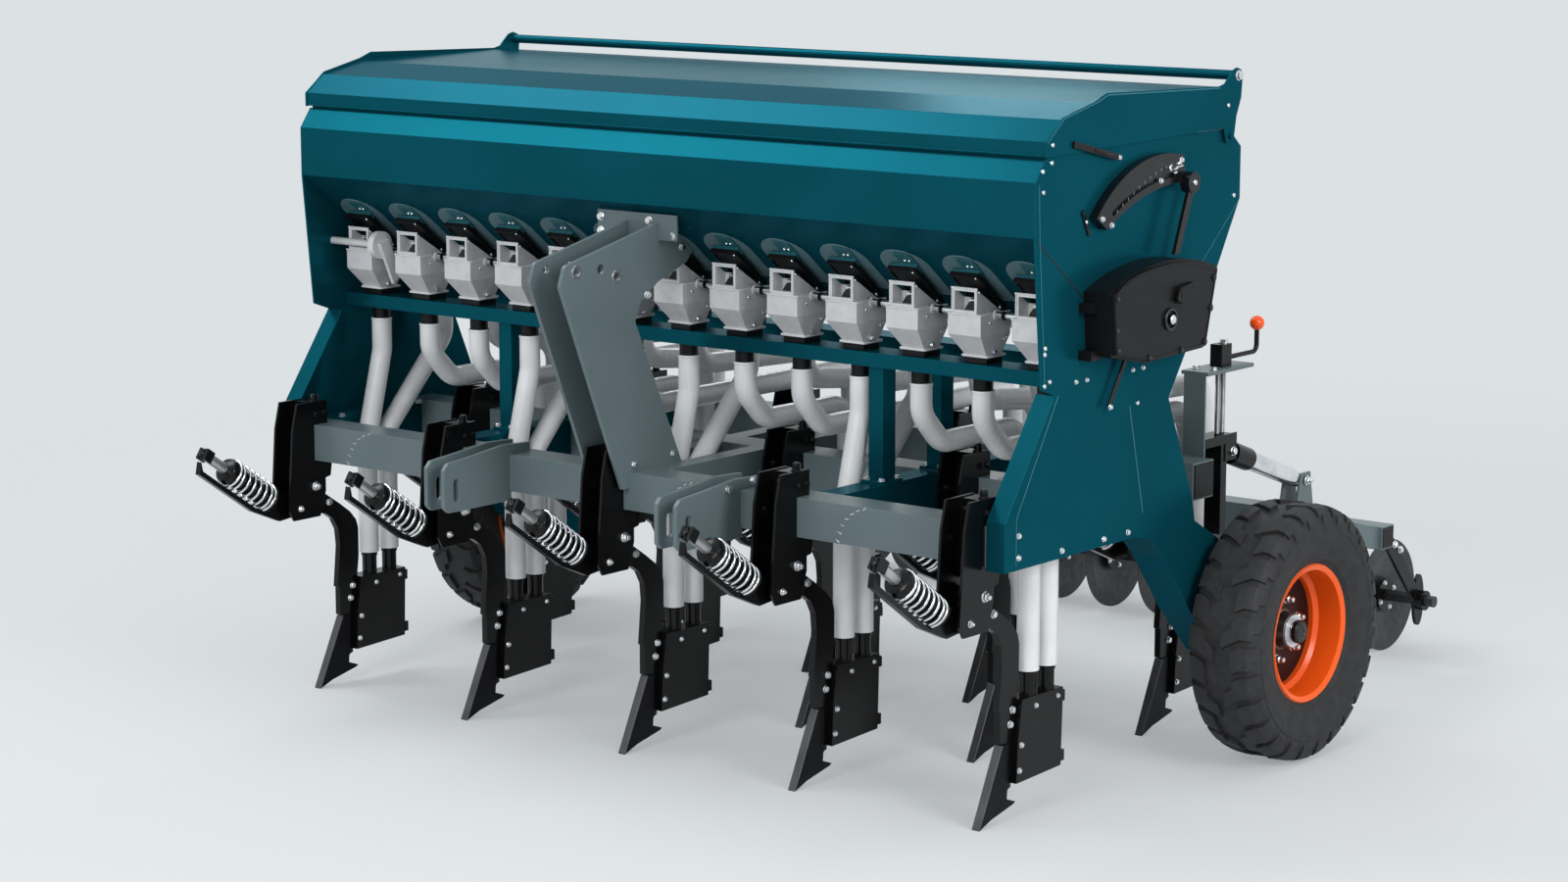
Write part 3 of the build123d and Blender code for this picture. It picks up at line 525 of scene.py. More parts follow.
def boltsAt(spots, axis, size=1.0, stud=False):
    # (shape, places) pairs for a set of hexagon bolts
    places = [put(*spot, axis, bolt["turn"] * k, size) for k, spot in enumerate(spots)]
    pairs = [(washer, places), (hexHead, places)]
    return pairs + [(studEnd, places)] if stud else pairs


def domesAt(spots, axis, size=1.0):
    return [(domeHead, [put(*spot, axis, 0, size) for spot in spots])]


def fastened(x, rows):
    # on the outer faces at x and at -x: rows of what fastens there, its size and its (y, z) spots
    return [pair for side in (-1, 1) for fasten, size, spots in rows
            for pair in fasten([(side * x, y, z) for y, z in spots], (side, 0, 0), size)]


spring = {
    "top": (-375.5, 803.6),  # y and z of the upper end of the coil, from its tine
    "tilt": 34.6,  # degrees below level, to the rear
    "long": 200.0,
    "coilRadius": 46.5,
    "wire": 4.9,
    "turns": 6,
    "closedPitch": 8.0,  # rise of the closed turn at each end
    "coilSteps": 22,
    # lines are (radius, height below the upper end)
    "cup": [(0, -24), (24, -24), (40, -18), (45, -8), (45, 3), (38, 3), (36, -4), (0, -4)],
    "seat": [(0, 195), (46, 195), (50, 198), (50, 202), (0, 202)],
    "cap": [(0, -116), (9, -116), (15, -110), (17.5, -98), (17.5, -40), (19, -26), (0, -26)],
    "core": (32.0, 2.0, 196.0),  # radius and both ends
    "ribs": (31.5, 4.5, 14.0, 9.5, 19),  # radius between them, how far they stand out, first, pitch, steps
    "eye": (14.0, 8.0, 125.0),  # radius of its ring, radius of its wire, height above the coil
    "tongue": ((-6, 6), (-20, 20), (-12, 26), 2),
    "tonguesApart": 15.0,
    "tongueUp": 128.0,
}
springAxis = Vector((0, math.cos(math.radians(spring["tilt"])), -math.sin(math.radians(spring["tilt"]))))


def coilShape():
    bm = bmesh.new()
    lift = spring["wire"] + 1
    across = Matrix.Translation((spring["coilRadius"], 0, lift)) @ Matrix.Rotation(math.pi / 2, 4, "X")
    made = bmesh.ops.create_circle(bm, cap_ends=False, radius=spring["wire"], segments=8, matrix=across)
    geom = made["verts"] + bm.edges[:]
    closed = spring["closedPitch"]
    openLong = spring["long"] - 2 * lift - 2 * closed
    for turns, rise in ((1, closed), (spring["turns"], openLong), (1, closed)):
        count = spring["coilSteps"] * turns
        swept = bmesh.ops.spin(bm, geom=geom, cent=(0, 0, 0), axis=(0, 0, 1), dvec=(0, 0, rise / count),
                               angle=2 * math.pi * turns, steps=count, use_duplicate=False)
        geom = swept["geom_last"]
    bmesh.ops.holes_fill(bm, edges=[edge for edge in bm.edges if edge.is_boundary], sides=0)
    bmesh.ops.recalc_face_normals(bm, faces=bm.faces)
    return asShape(bm)


def makeSprings():
    topY, topZ = spring["top"]
    places = [put(x, y + topY, topZ, springAxis) for x, y in tines]
    inner, out, first, pitch, count = spring["ribs"]
    ribs = [(inner + out * (k % 2), first + pitch * k) for k in range(count)]
    radius, start, end = spring["core"]
    core = lathe([(0, start), (radius, start)] + ribs + [(radius, end), (0, end)], 18)
    ring, wire, up = spring["eye"]
    turns = [math.pi / 4 * k for k in range(9)]
    eye = lathe([(ring + wire * math.cos(turn), wire * math.sin(turn)) for turn in turns], 16)
    eyes = [put(x, y + topY - up * springAxis.y, topZ - up * springAxis.z, (1, 0, 0)) for x, y in tines]
    tongue = brick(*spring["tongue"])
    tongues = [place @ Matrix.Translation((side * spring["tonguesApart"], 0, -spring["tongueUp"]))
               for place in places for side in (-1, 1)]
    coils = addPairs("spring_coils", [(coilShape(), places)], chromePlate, sharp=60)
    black = [core, lathe(spring["cup"], 24), lathe(spring["seat"], 24)]
    addPairs("spring_cores", [(shape, places) for shape in black], blackPaint)
    caps = addPairs("spring_caps", [(lathe(spring["cap"], 18), places)], satinSteel)
    addPairs("spring_hooks", [(eye, eyes), (tongue, tongues)], blackPaint)
    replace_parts(coils, "trip_springs")
    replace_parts(caps, "spring_rods")


makeSprings()
print("springs coiled")

tine = {
    "front": -38.0,  # y of the front of its bracket, from the tine
    "cheek": 45.0,  # middle of a tine to the outer face of its bracket
    "shank": 11.0,
    "boot": 31.0,
    "pivots": ((-30, 712, 1.1), (-100, 644, 0.75)),  # y, z and size
    "shankBolts": ((62, 640, 0.85), (163, 334, 0.8), (152, 292, 0.8)),
    "bootBolts": ((184, 226, 0.62), (174, 150, 0.62), (258, 332, 0.55), (372, 340, 0.5)),
    "faceBolt": (872.0, 0.6),  # z and size
    "capBolts": (22.0, 962.0),  # from the middle, and z
    "sideBolts": ((-22, 14), 955.0),
    "capSize": 0.75,
    "stud": [(0, 0), (17, 0), (17, 4), (13, 4), (13, 22), (9, 26), (0, 26)],
    "studSpot": (24.0, -6.0, 995.0),
    "rib": ((-3, 3), (-3, 3), (0, 225), 1),
    "ribSpot": (41.0, 768.0),  # from the middle, and z
    "edge": [(0, 0), (4, 1.5), (118, 234), (112, 236)],  # bright strip up the front of a point, as (y, z)
    "edgeSize": (28.6, 0.8),
}


def makeTineParts():
    front, cheek = tine["front"], tine["cheek"]
    zinc = []
    for side in (-1, 1):
        for group, reach in (("pivots", "cheek"), ("shankBolts", "shank"), ("bootBolts", "boot")):
            for dy, z, size in tine[group]:
                spots = [(x + side * tine[reach], y + dy, z) for x, y in tines]
                zinc += boltsAt(spots, (side, 0, 0), size, side < 0 or group == "pivots")
    z, size = tine["faceBolt"]
    zinc += boltsAt([(x, y + front, z) for x, y in tines], (0, -1, 0), size)
    addPairs("tine_bolts", zinc, zincPlate)
    dx, dy, z = tine["studSpot"]
    black = [(lathe(tine["stud"], 8), [put(x + dx, y + dy, z) for x, y in tines])]
    dx, z = tine["capBolts"]
    black += boltsAt([(x + side * dx, y + front, z) for side in (-1, 1) for x, y in tines], (0, -1, 0),
                     tine["capSize"])
    steps, z = tine["sideBolts"]
    black += boltsAt([(x + cheek, y + dy, z) for dy in steps for x, y in tines], (1, 0, 0), tine["capSize"])
    dx, z = tine["ribSpot"]
    rib = brick(*tine["rib"])
    black += [(rib, [put(x + side * dx, y + front, z) for x, y in tines]) for side in (-1, 1)]
    addPairs("bracket_fasteners", black, blackPaint)
    wide, chamfer = tine["edgeSize"]
    places = [Matrix.Translation((0, y / 1000.0, 0)) @ sideOn(x - wide / 2) for x, y in tines]
    addPairs("point_edges", [(slab(tine["edge"], wide, chamfer), places)], wornEdge)


makeTineParts()
print("tines fitted")

wheel = {
    "lugs": 26,
    "lugSteps": 4,  # steps of the tread for a lug and the groove behind it
    "lift": 1.034,
    "spread": 1.02,
    "sideWall": 350.0,  # no lug below this radius
    "shoulder": 366.0,  # a lug is narrower below this radius
    "centreGroove": 14.0,
    "centreLugs": 46.0,  # only every second lug goes on between here and the groove
    "twists": ((2.25, 60.0), (2.75, 30.0)),  # degrees that the tread nearer to the middle is turned
    "boltCircle": 96.0,
    "studs": 6,
    "studDepth": -14.0,
    "valveSpot": (168.0, 2.2, -16.0),  # radius, turn and depth
    # half of the tyre's outline: (radius, distance from the middle)
    "tyre": [(394, 14), (393, 46), (391, 76), (384, 98), (368, 110), (344, 117.5), (338, 118), (336, 120.5),
             (331, 120.5), (329, 118.6), (300, 117), (270, 111), (246, 102), (242, 103), (236, 101),
             (228, 93), (219, 88)],
    # lines are (radius, distance from the middle of the rim)
    "nut": [(0, 0), (15, 0), (15, 3), (12, 4), (12, 14), (9, 17), (8, 17), (9, 20), (10, 25), (8, 30),
            (4, 32), (0, 32)],
    "nave": [(0, -14), (66, -14), (66, -8), (56, -4), (56.5, 28), (54, 31), (0, 31)],
    "collar": [(0, 31), (52, 31), (54, 33.5), (52, 36), (41, 36), (40.5, 44), (37, 45), (0, 45)],
    "cap": [(0, 45), (37.4, 45), (37.4, 57), (33, 62.5), (14, 64), (12, 62), (0, 62)],
    "valve": [(0, 0), (5, 0), (5, 22), (7, 24), (7, 40), (5, 43), (0, 43)],
    "bead": [(218, 80), (221, 83), (221, 88), (217, 91), (213, 89), (213, 82), (218, 80)],
}
wheelX, wheelY, wheelZ = sum(cornersOf("rim_right"), Vector()) / 2


def makeTyre(side, name, body):
    steps = wheel["lugs"] * wheel["lugSteps"]
    bm = spun([(radius, -away) for radius, away in reversed(wheel["tyre"])] + wheel["tyre"], steps)
    # lugs, staggered from one side of the tread to the other
    raised = []
    for face in bm.faces:
        spot = face.calc_center_median()
        reach, away = math.hypot(spot.x, spot.y), abs(spot.z)
        step = int(math.floor(math.atan2(spot.y, spot.x) / (2 * math.pi) * steps)) % steps
        lug, part = divmod(step + (2 if spot.z > 0 else 0), wheel["lugSteps"])
        if reach < wheel["sideWall"] or away < wheel["centreGroove"] or part == 0:
            continue
        if away < wheel["centreLugs"] and (lug % 2 or part == 1):
            continue
        if reach < wheel["shoulder"] and part == 3:
            continue
        raised.append(face)
    grown = bmesh.ops.extrude_face_region(bm, geom=raised)
    tops = [item for item in grown["geom"] if isinstance(item, bmesh.types.BMVert)]
    bmesh.ops.delete(bm, geom=[face for face in raised if face.is_valid], context="FACES")
    bmesh.ops.scale(bm, vec=(wheel["lift"], wheel["lift"], wheel["spread"]), verts=tops)
    for angle, limit in wheel["twists"]:
        bmesh.ops.rotate(bm, cent=(0, 0, 0), matrix=Matrix.Rotation(math.radians(angle), 3, "Z"),
                         verts=[vert for vert in bm.verts if abs(vert.co.z) < limit])
    # the inside of the casing
    bmesh.ops.bridge_loops(bm, edges=[edge for edge in bm.edges if edge.is_boundary])
    bmesh.ops.recalc_face_normals(bm, faces=bm.faces)
    bmesh.ops.transform(bm, matrix=put(side * wheelX, wheelY, wheelZ, (side, 0, 0)), verts=bm.verts)
    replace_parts(addPiece(name + "_tread", bm, tyreRubber, body, 26), name)


def makeWheelParts(side, hand, body):

    def onWheel(radius, angle, out):
        back, up = radius * math.cos(angle), radius * math.sin(angle)
        return put(side * (wheelX + out), wheelY + back, wheelZ + up, (side, 0, 0))

    turns = [2 * math.pi * (k + 0.25) / wheel["studs"] for k in range(wheel["studs"])]
    studs = [onWheel(wheel["boltCircle"], turn, wheel["studDepth"]) for turn in turns]
    middle = [onWheel(0, 0, 0)]
    for name, line, steps, places, material in (
            ("wheel_studs_", "nut", 14, studs, zincPlate),
            ("wheel_nave_", "nave", 40, middle, naveSteel),
            ("wheel_collar_", "collar", 40, middle, chromePlate),
            ("wheel_cap_", "cap", 40, middle, glossMoulding),
            ("tyre_valve_", "valve", 10, [onWheel(*wheel["valveSpot"])], blackMoulding),
            ("rim_bead_", "bead", 96, middle, orangePaint)):
        addPairs(name + hand, [(lathe(wheel[line], steps), places)], material, body)


for side, hand in ((-1, "left"), (1, "right")):
    makeTyre(side, "tyre_" + hand, "wheel_" + hand)
    makeWheelParts(side, hand, "wheel_" + hand)
print("wheels mounted")

hopper = {  # corners as (y, z)
    "cornerFront": (95.0, 1741.0),
    "troughFront": (490.0, 1432.0),
    "cornerRear": (1197.0, 1769.0),
    "troughRear": (798.0, 1432.0),
    # seams and folds: both ends, width, thickness and edge
    "seam": (0.03, 0.70, 4.5, 0.8, 0),  # where the front sheet meets the plate, as shares of its slope
    "rearSeam": (0.02, 0.98, 3.0, 1.2, 0.5),
    "folds": (((152, 1300), (118, 1738), 4, 1.6, 0.7), ((222, 1274), (18, 940), 4, 1.6, 0.7),
              ((18, 940), (18, 804), 4, 1.6, 0.7), ((118, 1738), (112, 1893), 4, 1.6, 0.7),
              ((598, 1196), (680, 860), 5, 1.4, 0.6)),
    "fasteners": ((boltsAt, 0.62, ((30, 826), (30, 890), (250, 812), (470, 812), (600, 812))),
                  (domesAt, 0.75, ((152, 1420), (150, 1310), (176, 1320), (150, 1402), (128, 1930),
                                   (172, 1952), (132, 1870), (560, 1610), (640, 1200), (1020, 1500),
                                   (1160, 1780))),
                  (boltsAt, 0.5, ((312, 1303), (368, 1303), (612, 1303), (668, 1303)))),
}

unit = {  # heights are above the carrier, y from the middle of the foot
    "body": 59.0,  # half width of the housing below its shoulder
    "throat": 46.0,  # half width above it
    "front": -100.0,
    "shoulder": 158.0,
    "top": 230.0,
    "ledge": 152.0,
    "rimSide": ((-2, 2), (0, 3), (0, 74), 0.8),
    "rimInset": 2.0,
    "rimTop": ((-48, 48), (-2, 4), (0, 5), 1.2),
    "frontLedge": ((-60.5, 60.5), (-3, 3), (0, 5), 1),
    "sideLedge": ((-2.5, 2.5), (-74, 74), (0, 5), 1),
    "sideMiddle": -26.0,
    "shaft": (-25.0, 150.0),
    "boss": [(0, 0), (15, 0), (15, 3), (13, 5), (0, 5)],
    "flange": [(-50, -44), (-44, -50), (44, -50), (50, -44), (50, 44), (44, 50), (-44, 50), (-50, 44)],
    "flangeSize": (6.0, 1.2),  # thickness and chamfer
    "flangeHeight": 20.5,
    "footBolt": (50.0, -14.0, 36.0),
    "footSize": 0.62,
    "screws": ((-88, 221, 0.45), (16, 168, 0.5), (-52, 128, 0.55), (20, 74, 0.45), (34, 78, 0.35)),
    "pin": [(0, 0), (3.6, 0), (3.6, 20), (6.5, 22), (6.5, 28), (0, 28)],
    "pinSpot": (36.0, -80.0, 196.0),
    "gate": [(-14, 0), (35, 0), (35, 44), (24, 42), (8, 30), (-6, 12)],
    "gateSize": (16.0, 1.0),
    "gateSpot": (0.0, -66.0, 166.0),
    "sleeve": [(11.2, 0), (13, 0), (13, 12), (11.2, 12), (11.2, 0)],
    "sleeveAt": 89.0,
}


def onUnits(dx, dy, height, spots=unitSpots):
    return [(x + dx, y + dy, carrierTop + height) for x, y in spots]


def bothWalls(reach, dy, height):
    # on the left and right of each unit in turn
    return [(side, spot) for x, y in unitSpots for side in (-1, 1)
            for spot in onUnits(side * reach, dy, height, [(x, y)])]


def makeUnitParts():
    front, throat, body = unit["front"], unit["throat"], unit["body"]
    shaftY, shaftHeight = unit["shaft"]
    inset = throat - unit["rimInset"]
    cast = [(brick(*unit["rimSide"]),
             [put(*spot) for side, spot in bothWalls(inset, front, unit["shoulder"])]),
            (brick(*unit["rimTop"]), [put(*spot) for spot in onUnits(0, front, unit["top"])]),
            (brick(*unit["frontLedge"]), [put(*spot) for spot in onUnits(0, front - 1, unit["ledge"])]),
            (brick(*unit["sideLedge"]),
             [put(*spot) for side, spot in bothWalls(body + 1, unit["sideMiddle"], unit["ledge"])]),
            (lathe(unit["boss"], 16),
             [put(*spot, (side, 0, 0)) for side, spot in bothWalls(body, shaftY, shaftHeight)]),
            (slab(unit["flange"], *unit["flangeSize"]),
             [put(*spot) for spot in onUnits(0, 0, unit["flangeHeight"])])]
    addPairs("housing_frames", cast, castMetal)
    zinc = boltsAt([spot for side, spot in bothWalls(*unit["footBolt"])], (0, -0.3, 1), unit["footSize"])
    for side in (-1, 1):
        for dy, height, size in unit["screws"]:
            reach = throat if height > unit["shoulder"] else body
            zinc += domesAt(onUnits(side * reach, dy, height), (side, 0, 0), size)
    zinc.append((lathe(unit["pin"], 12), [put(*spot, (-1, 0, 0)) for spot in onUnits(*unit["pinSpot"])]))
    addPairs("housing_bolts", zinc, zincPlate)
    # the dark gate behind each window stands on its lower edge
    stand = Matrix.Rotation(math.pi / 2, 4, "X") @ Matrix.Scale(0.001, 4)
    gates = [Matrix.Translation(mm(*spot)) @ stand for spot in onUnits(*unit["gateSpot"])]
    addPairs("gate_blades", [(slab(unit["gate"], *unit["gateSize"]), gates)], sealBlack)
    sleeves = [put(*spot, (1, 0, 0)) for spot in onUnits(unit["sleeveAt"], shaftY, shaftHeight)]
    addPairs("shaft_couplings", [(lathe(unit["sleeve"], 16), sleeves)], wornSteel)


shutter = {
    "middle": (-30.0, 219.0),  # y from the foot of its unit, height above the carrier
    # blocks: across, down the slope to the rear, out of the upper face, and chamfer
    "lip": ((-52, 52), (-91.5, -84), (-11, -5), 1),
    "edge": ((-3, 3), (-84, 88), (-8.5, -5), 1),
    "edgeAt": 49.0,
    "guideLedge": ((-50, 50), (-91, -62), (5, 16.5), 1),
    "guidePlate": ((-8, 54), (-150, -84), (13.5, 17), 0.8),
    "screws": ((18, -112, 13.5, 0.5), (34, -112, 13.5, 0.5), (44, -87, -11, 0.4)),  # the last column is size
}


def makeShutterParts():
    (frontY, frontZ), (lowY, lowZ) = hopper["cornerFront"], hopper["troughFront"]
    slope = Matrix.Rotation(-math.atan2(frontZ - lowZ, lowY - frontY), 4, "X") @ Matrix.Scale(0.001, 4)
    dy, height = shutter["middle"]

    def onGates(spots, dx=0, along=0, out=0):
        return [Matrix.Translation(mm(*spot)) @ slope @ Matrix.Translation((dx, along, out))
                for spot in onUnits(0, dy, height, spots)]

    edge = brick(*shutter["edge"])
    black = [(brick(*shutter["lip"]), onGates(unitSpots))]
    black += [(edge, onGates(unitSpots, side * shutter["edgeAt"])) for side in (-1, 1)]
    addPairs("shutter_rims", black, blackMoulding)
    # a stepped teal guide between each front shutter and the plate above it
    fronts = [spot for spot in unitSpots if spot[1] == layout["unitRows"][0]]
    guides = onGates(fronts)
    addPairs("shutter_guides", [(brick(*shutter["guideLedge"]), guides),
                                (brick(*shutter["guidePlate"]), guides)], guidePaint)
    under = Matrix.Rotation(math.pi, 4, "X")  # the heads face down
    screws = [place @ under @ Matrix.Scale(size, 4) for dx, along, out, size in shutter["screws"]
              for place in onGates(fronts, dx, along, out)]
    addPairs("shutter_screws", [(domeHead, screws)], zincPlate)


makeUnitParts()
makeShutterParts()
print("metering units finished")

hose = {
    "lip": [(31, 0), (34.5, 0), (35.6, 2), (35.6, 7), (34.5, 9), (31, 9), (31, 0)],
    "lipHeight": 1232.0,
    "collar": [(25, 0), (28, 0), (28, 8), (25, 8), (25, 0)],
    "collarY": (258.0, 353.0),
    "collarZ": (352.0, 424.0),
}


def makeHoseCuffs():
    tops = [put(x, y, hose["lipHeight"]) for x, y in unitSpots]
    addPairs("hose_lips", [(lathe(hose["lip"], 28), tops)], paleHose)
    feet = [put(x, y + dy, z) for x, y in tines for dy in hose["collarY"] for z in hose["collarZ"]]
    addPairs("boot_collars", [(lathe(hose["collar"], 18), feet)], blackPaint)


makeHoseCuffs()
print("hoses cuffed")

chassis = {
    # arcs of short weld beads on the front face of the first toolbar
    "arcs": ((-1050, 790), (346, 790), (1015, 790)),  # x and z of their middles
    "arcRadius": 128.0,
    "arcFrom": 172.0,
    "arcTo": 102.0,
    "arcBeads": 7,
    "arcClear": 3.0,  # no bead nearer than this to the top of the bar
    "beadTurn": 0.9,
    "bead": [(0, -3), (7, -2), (10, 0), (7, 2), (0, 3)],
    "beadSquash": (0.2, 1.0, 0.3, 1),
    # upright seams, where plates meet the toolbars
    "seam": [(0, 0), (5, 0), (5, 100), (0, 100)],
    "seamFoot": 806.0,
    "linkSeams": (-521, -505, -451, -435, 435, 451, 505, 521),
    "linkSquash": (1, 1, 1.1, 1),
    "headSeams": (-133, -59, 59, 133),
    "headSeamY": (90, 700),
    "headSquash": (0.8, 0.8, 1.1, 1),
    "endCap": ((-55, 55), (-55, 55), (0, 5), 2),
    "endCaps": ((1356, 1250, 860, 1), (1340, 1685, 670, 0.72)),  # x, y, z and size
    "packerCap": (1330, 2500, 475, 0.64),
    "postBolts": ((-800, -744, 744, 800), (302, 378, 602, 678), 929, 0.8),  # x, y, z and size
    "headBolts": ((-171, 118, 1690), (29, 118, 1690), (123, 118, 1646), (-171, 118, 1646)),
    "headSize": 0.9,
    "plateBolts": ((68, [(boltsAt, 0.9, ((-6, 940), (180, 950), (60, 1466), (226, 1600)))]),
                   (522, [(boltsAt, 0.9, ((20, 940), (-96, 930)))])),
    "railBolts": (1392, (150, 520), 920),
    "bush": [(13.2, -1.5), (21, -1.5), (22, 0), (21, 1.5), (13.2, 1.5), (13.2, -1.5)],
    "bushAt": (68.5, ((-263, 1568), (-80, 1537))),
}


def weldMarks(middleX, middleZ):
    low, high = cornersOf("main_frame")
    start, end, last = chassis["arcFrom"], chassis["arcTo"], chassis["arcBeads"] - 1
    marks = []
    for k in range(last + 1):
        angle = math.radians(start + (end - start) * k / last)
        x = middleX + chassis["arcRadius"] * math.cos(angle)
        z = middleZ + chassis["arcRadius"] * math.sin(angle)
        if z <= high.z - chassis["arcClear"]:
            marks.append(put(x, low.y, z, (0, -1, 0)) @ Matrix.Rotation(chassis["beadTurn"] - angle, 4, "Z")
                         @ Matrix.Diagonal(chassis["beadSquash"]))
    return marks


def makeFrameParts():
    marks = [mark for arc in chassis["arcs"] for mark in weldMarks(*arc)]
    # the bead marks wear pale metal: a painted highlight on each bead
    addPairs("weld_marks", [(lathe(chassis["bead"], 12), marks)], weldPaintedHighlight)
    foot = chassis["seamFoot"]
    front = cornersOf("main_frame")[0].y
    seams = [put(x, front, foot) @ Matrix.Diagonal(chassis["linkSquash"]) for x in chassis["linkSeams"]]
    seams += [put(x, y, foot) @ Matrix.Diagonal(chassis["headSquash"]) for x in chassis["headSeams"]
              for y in chassis["headSeamY"]]
    addPairs("plate_welds", [(lathe(chassis["seam"], 8), seams)], greyPaint)
    cap = brick(*chassis["endCap"])
    for name, body, spots in (("bar_end_caps", "frame", chassis["endCaps"]),
                              ("packer_bar_caps", "packer", [chassis["packerCap"]])):
        caps = [put(side * x, y, z, (side, 0, 0), 0, size) for x, y, z, size in spots for side in (-1, 1)]
        addPairs(name, [(cap, caps)], blackMoulding, body)
    xs, ys, z, size = chassis["postBolts"]
    zinc = boltsAt([(x, y, z) for x in xs for y in ys], (0, 0, 1), size)
    zinc += boltsAt(chassis["headBolts"], (0, -1, 0), chassis["headSize"])
    for x, rows in chassis["plateBolts"]:
        zinc += fastened(x, rows)
    x, ys, z = chassis["railBolts"]
    zinc += boltsAt([(side * x, y, z) for side in (-1, 1) for y in ys], (0, 0, 1))
    addPairs("frame_bolts", zinc, zincPlate)
    x, spots = chassis["bushAt"]
    bushes = [put(side * x, y, z, (1, 0, 0)) for side in (-1, 1) for y, z in spots]
    addPairs("hitch_bushes", [(lathe(chassis["bush"], 24), bushes)], satinSteel)


makeFrameParts()
print("frame welded and bolted")


def makeHopperParts():

    def alongSheet(corner, trough, start, end, *sizes):
        # a strip between two shares of the way from a corner down to its trough
        corner, trough = Vector(hopper[corner]), Vector(hopper[trough])
        return strip(corner.lerp(trough, start), corner.lerp(trough, end), *sizes)

    seam = alongSheet("cornerFront", "troughFront", *hopper["seam"])
    addBothSides("plate_seams", [seam], plateX, sealBlack)
    folds = [alongSheet("cornerRear", "troughRear", *hopper["rearSeam"])]
    folds += [strip(*fold) for fold in hopper["folds"]]
    # the fold and rear seam strips take the lighter teal: a painted highlight along each of them
    addBothSides("plate_folds", folds, plateX, tealPaintedHighlight)
    addPairs("side_plate_bolts", fastened(plateX, hopper["fasteners"]), zincPlate)


makeHopperParts()
print("hopper and side plates detailed")

lid = {
    "lip": ((-1502, 1502), (-3, 3), (-3, 3), 1.6),
    "lipSpot": (0.0, 133.5, 1974.0),
    "folds": ((136, 2010), (219, 2076), (388, 2112), (442, 2130), (1052, 2115)),  # along the end plates
    "foldSize": (4, 1.5),
    "fasteners": ((boltsAt, 1.1, [(1155, 2148)]), (domesAt, 0.7, ((160, 2004), (1100, 2060)))),
    "latchOut": 4.5,
    "latchAlong": (0, 228, -52),
    "tip": [(0, -2), (9, -2), (9, 12), (6, 15), (0, 15)],
    "tipSpot": (488, 1947),
    "grip": [(0, 0), (8, 2), (8.5, 40), (8, 96), (6, 100), (0, 100)],
    "gripSpot": (366, 1976),
}


def makeLidParts():
    lidX = cornersOf("hopper_lid")[1].x
    addPairs("lid_lip", [(brick(*lid["lip"]), [put(*lid["lipSpot"])])], tealPaint, "lid")
    folds = [strip(start, end, *lid["foldSize"]) for start, end in zip(lid["folds"], lid["folds"][1:])]
    # the lid's fold strips take the lighter teal: a painted highlight along each fold
    addBothSides("lid_folds", folds, lidX, tealPaintedHighlight, "lid")
    latchX, along = lidX + lid["latchOut"], lid["latchAlong"]
    tip = [(lathe(lid["tip"], 16), [put(latchX, *lid["tipSpot"], along)])]
    grip = [(lathe(lid["grip"], 16), [put(latchX, *lid["gripSpot"], along)])]
    addPairs("lid_bolts", fastened(lidX, lid["fasteners"]) + tip, zincPlate, "lid")
    addPairs("latch_grip", grip, blackMoulding, "lid")


makeLidParts()
print("lid finished")

control = {
    "coverX": 1600.0,  # outer face of the gearbox cover
    "coverEdge": ((910, 1580), (852, 1363), (548, 1353), (374, 1388), (359, 1556), (415, 1590), (480, 1606),
                  (560, 1617), (640, 1620), (720, 1617), (790, 1609), (850, 1597)),
    "bead": (5, 2.2, 0.8),  # width, thickness and edge
    "beadOut": -0.2,
    "coverScrews": ((372, 1548), (372, 1456), (380, 1396), (548, 1356), (720, 1360), (850, 1370), (896, 1560),
                    (880, 1470)),
    "screwOut": 2.5,
    "screwSize": 0.72,
    "lever": [(676, 1512), (690, 1552), (776, 1560), (804, 1530), (788, 1508), (700, 1500)],
    "leverSize": (14.0, 3.0),
    "leverOut": 3.0,
    # spots are (out of the face, y, z)
    "bossEndAt": (11.5, 655, 1459),
    "bossRingAt": (4.6, 655, 1459),
    "bossEnd": [(0, 0), (14.5, 0), (14.5, 1.5), (11, 4.5), (0, 6)],
    "bossRing": [(26, 0), (33.5, 0), (34, 2), (32, 3.5), (27, 3.5), (26, 2), (26, 0)],
    "footLever": ((552, 1356), (462, 1212), 16, 7, 1.5),
    "footOut": 14.0,
    "footBoltAt": (21, 462, 1212),
    "strip": ((330, 1800), (366, 1728), 12, 6, 1),
    "domes": ((6, 346, 1768, 0.6), (62, 838, 1848, 0.9), (30, 800, 1904, 1.0)),  # out, y, z and size
    "quadrantOut": 30.0,
    "quadrantBolts": ((392, 1774), (440, 1752), (812, 1916), (700, 1862)),
    "quadrantSize": 0.6,
    "stemAt": (0, 748, 1898),
    "wingAt": (10, 748, 1898),
    "stem": [(0, 0), (9, 0), (9, 6), (5, 8), (5, 26), (0, 26)],
    "wing": [(-19, 0), (19, 0), (25, 22), (17, 27), (7, 12), (-7, 12), (-17, 27), (-25, 22)],
    "wingSize": (5.0, 1.2),
    "wingTurn": 0.5,
    "tick": ((-0.9, 0.9), (-5, 5), (0, 0.6)),
    "ticks": 11,
    "scaleStart": (470.0, 1790.0),
    "scaleLong": 290.0,
    "scaleBow": 84.0,
    "scaleRise": 30.0,
}


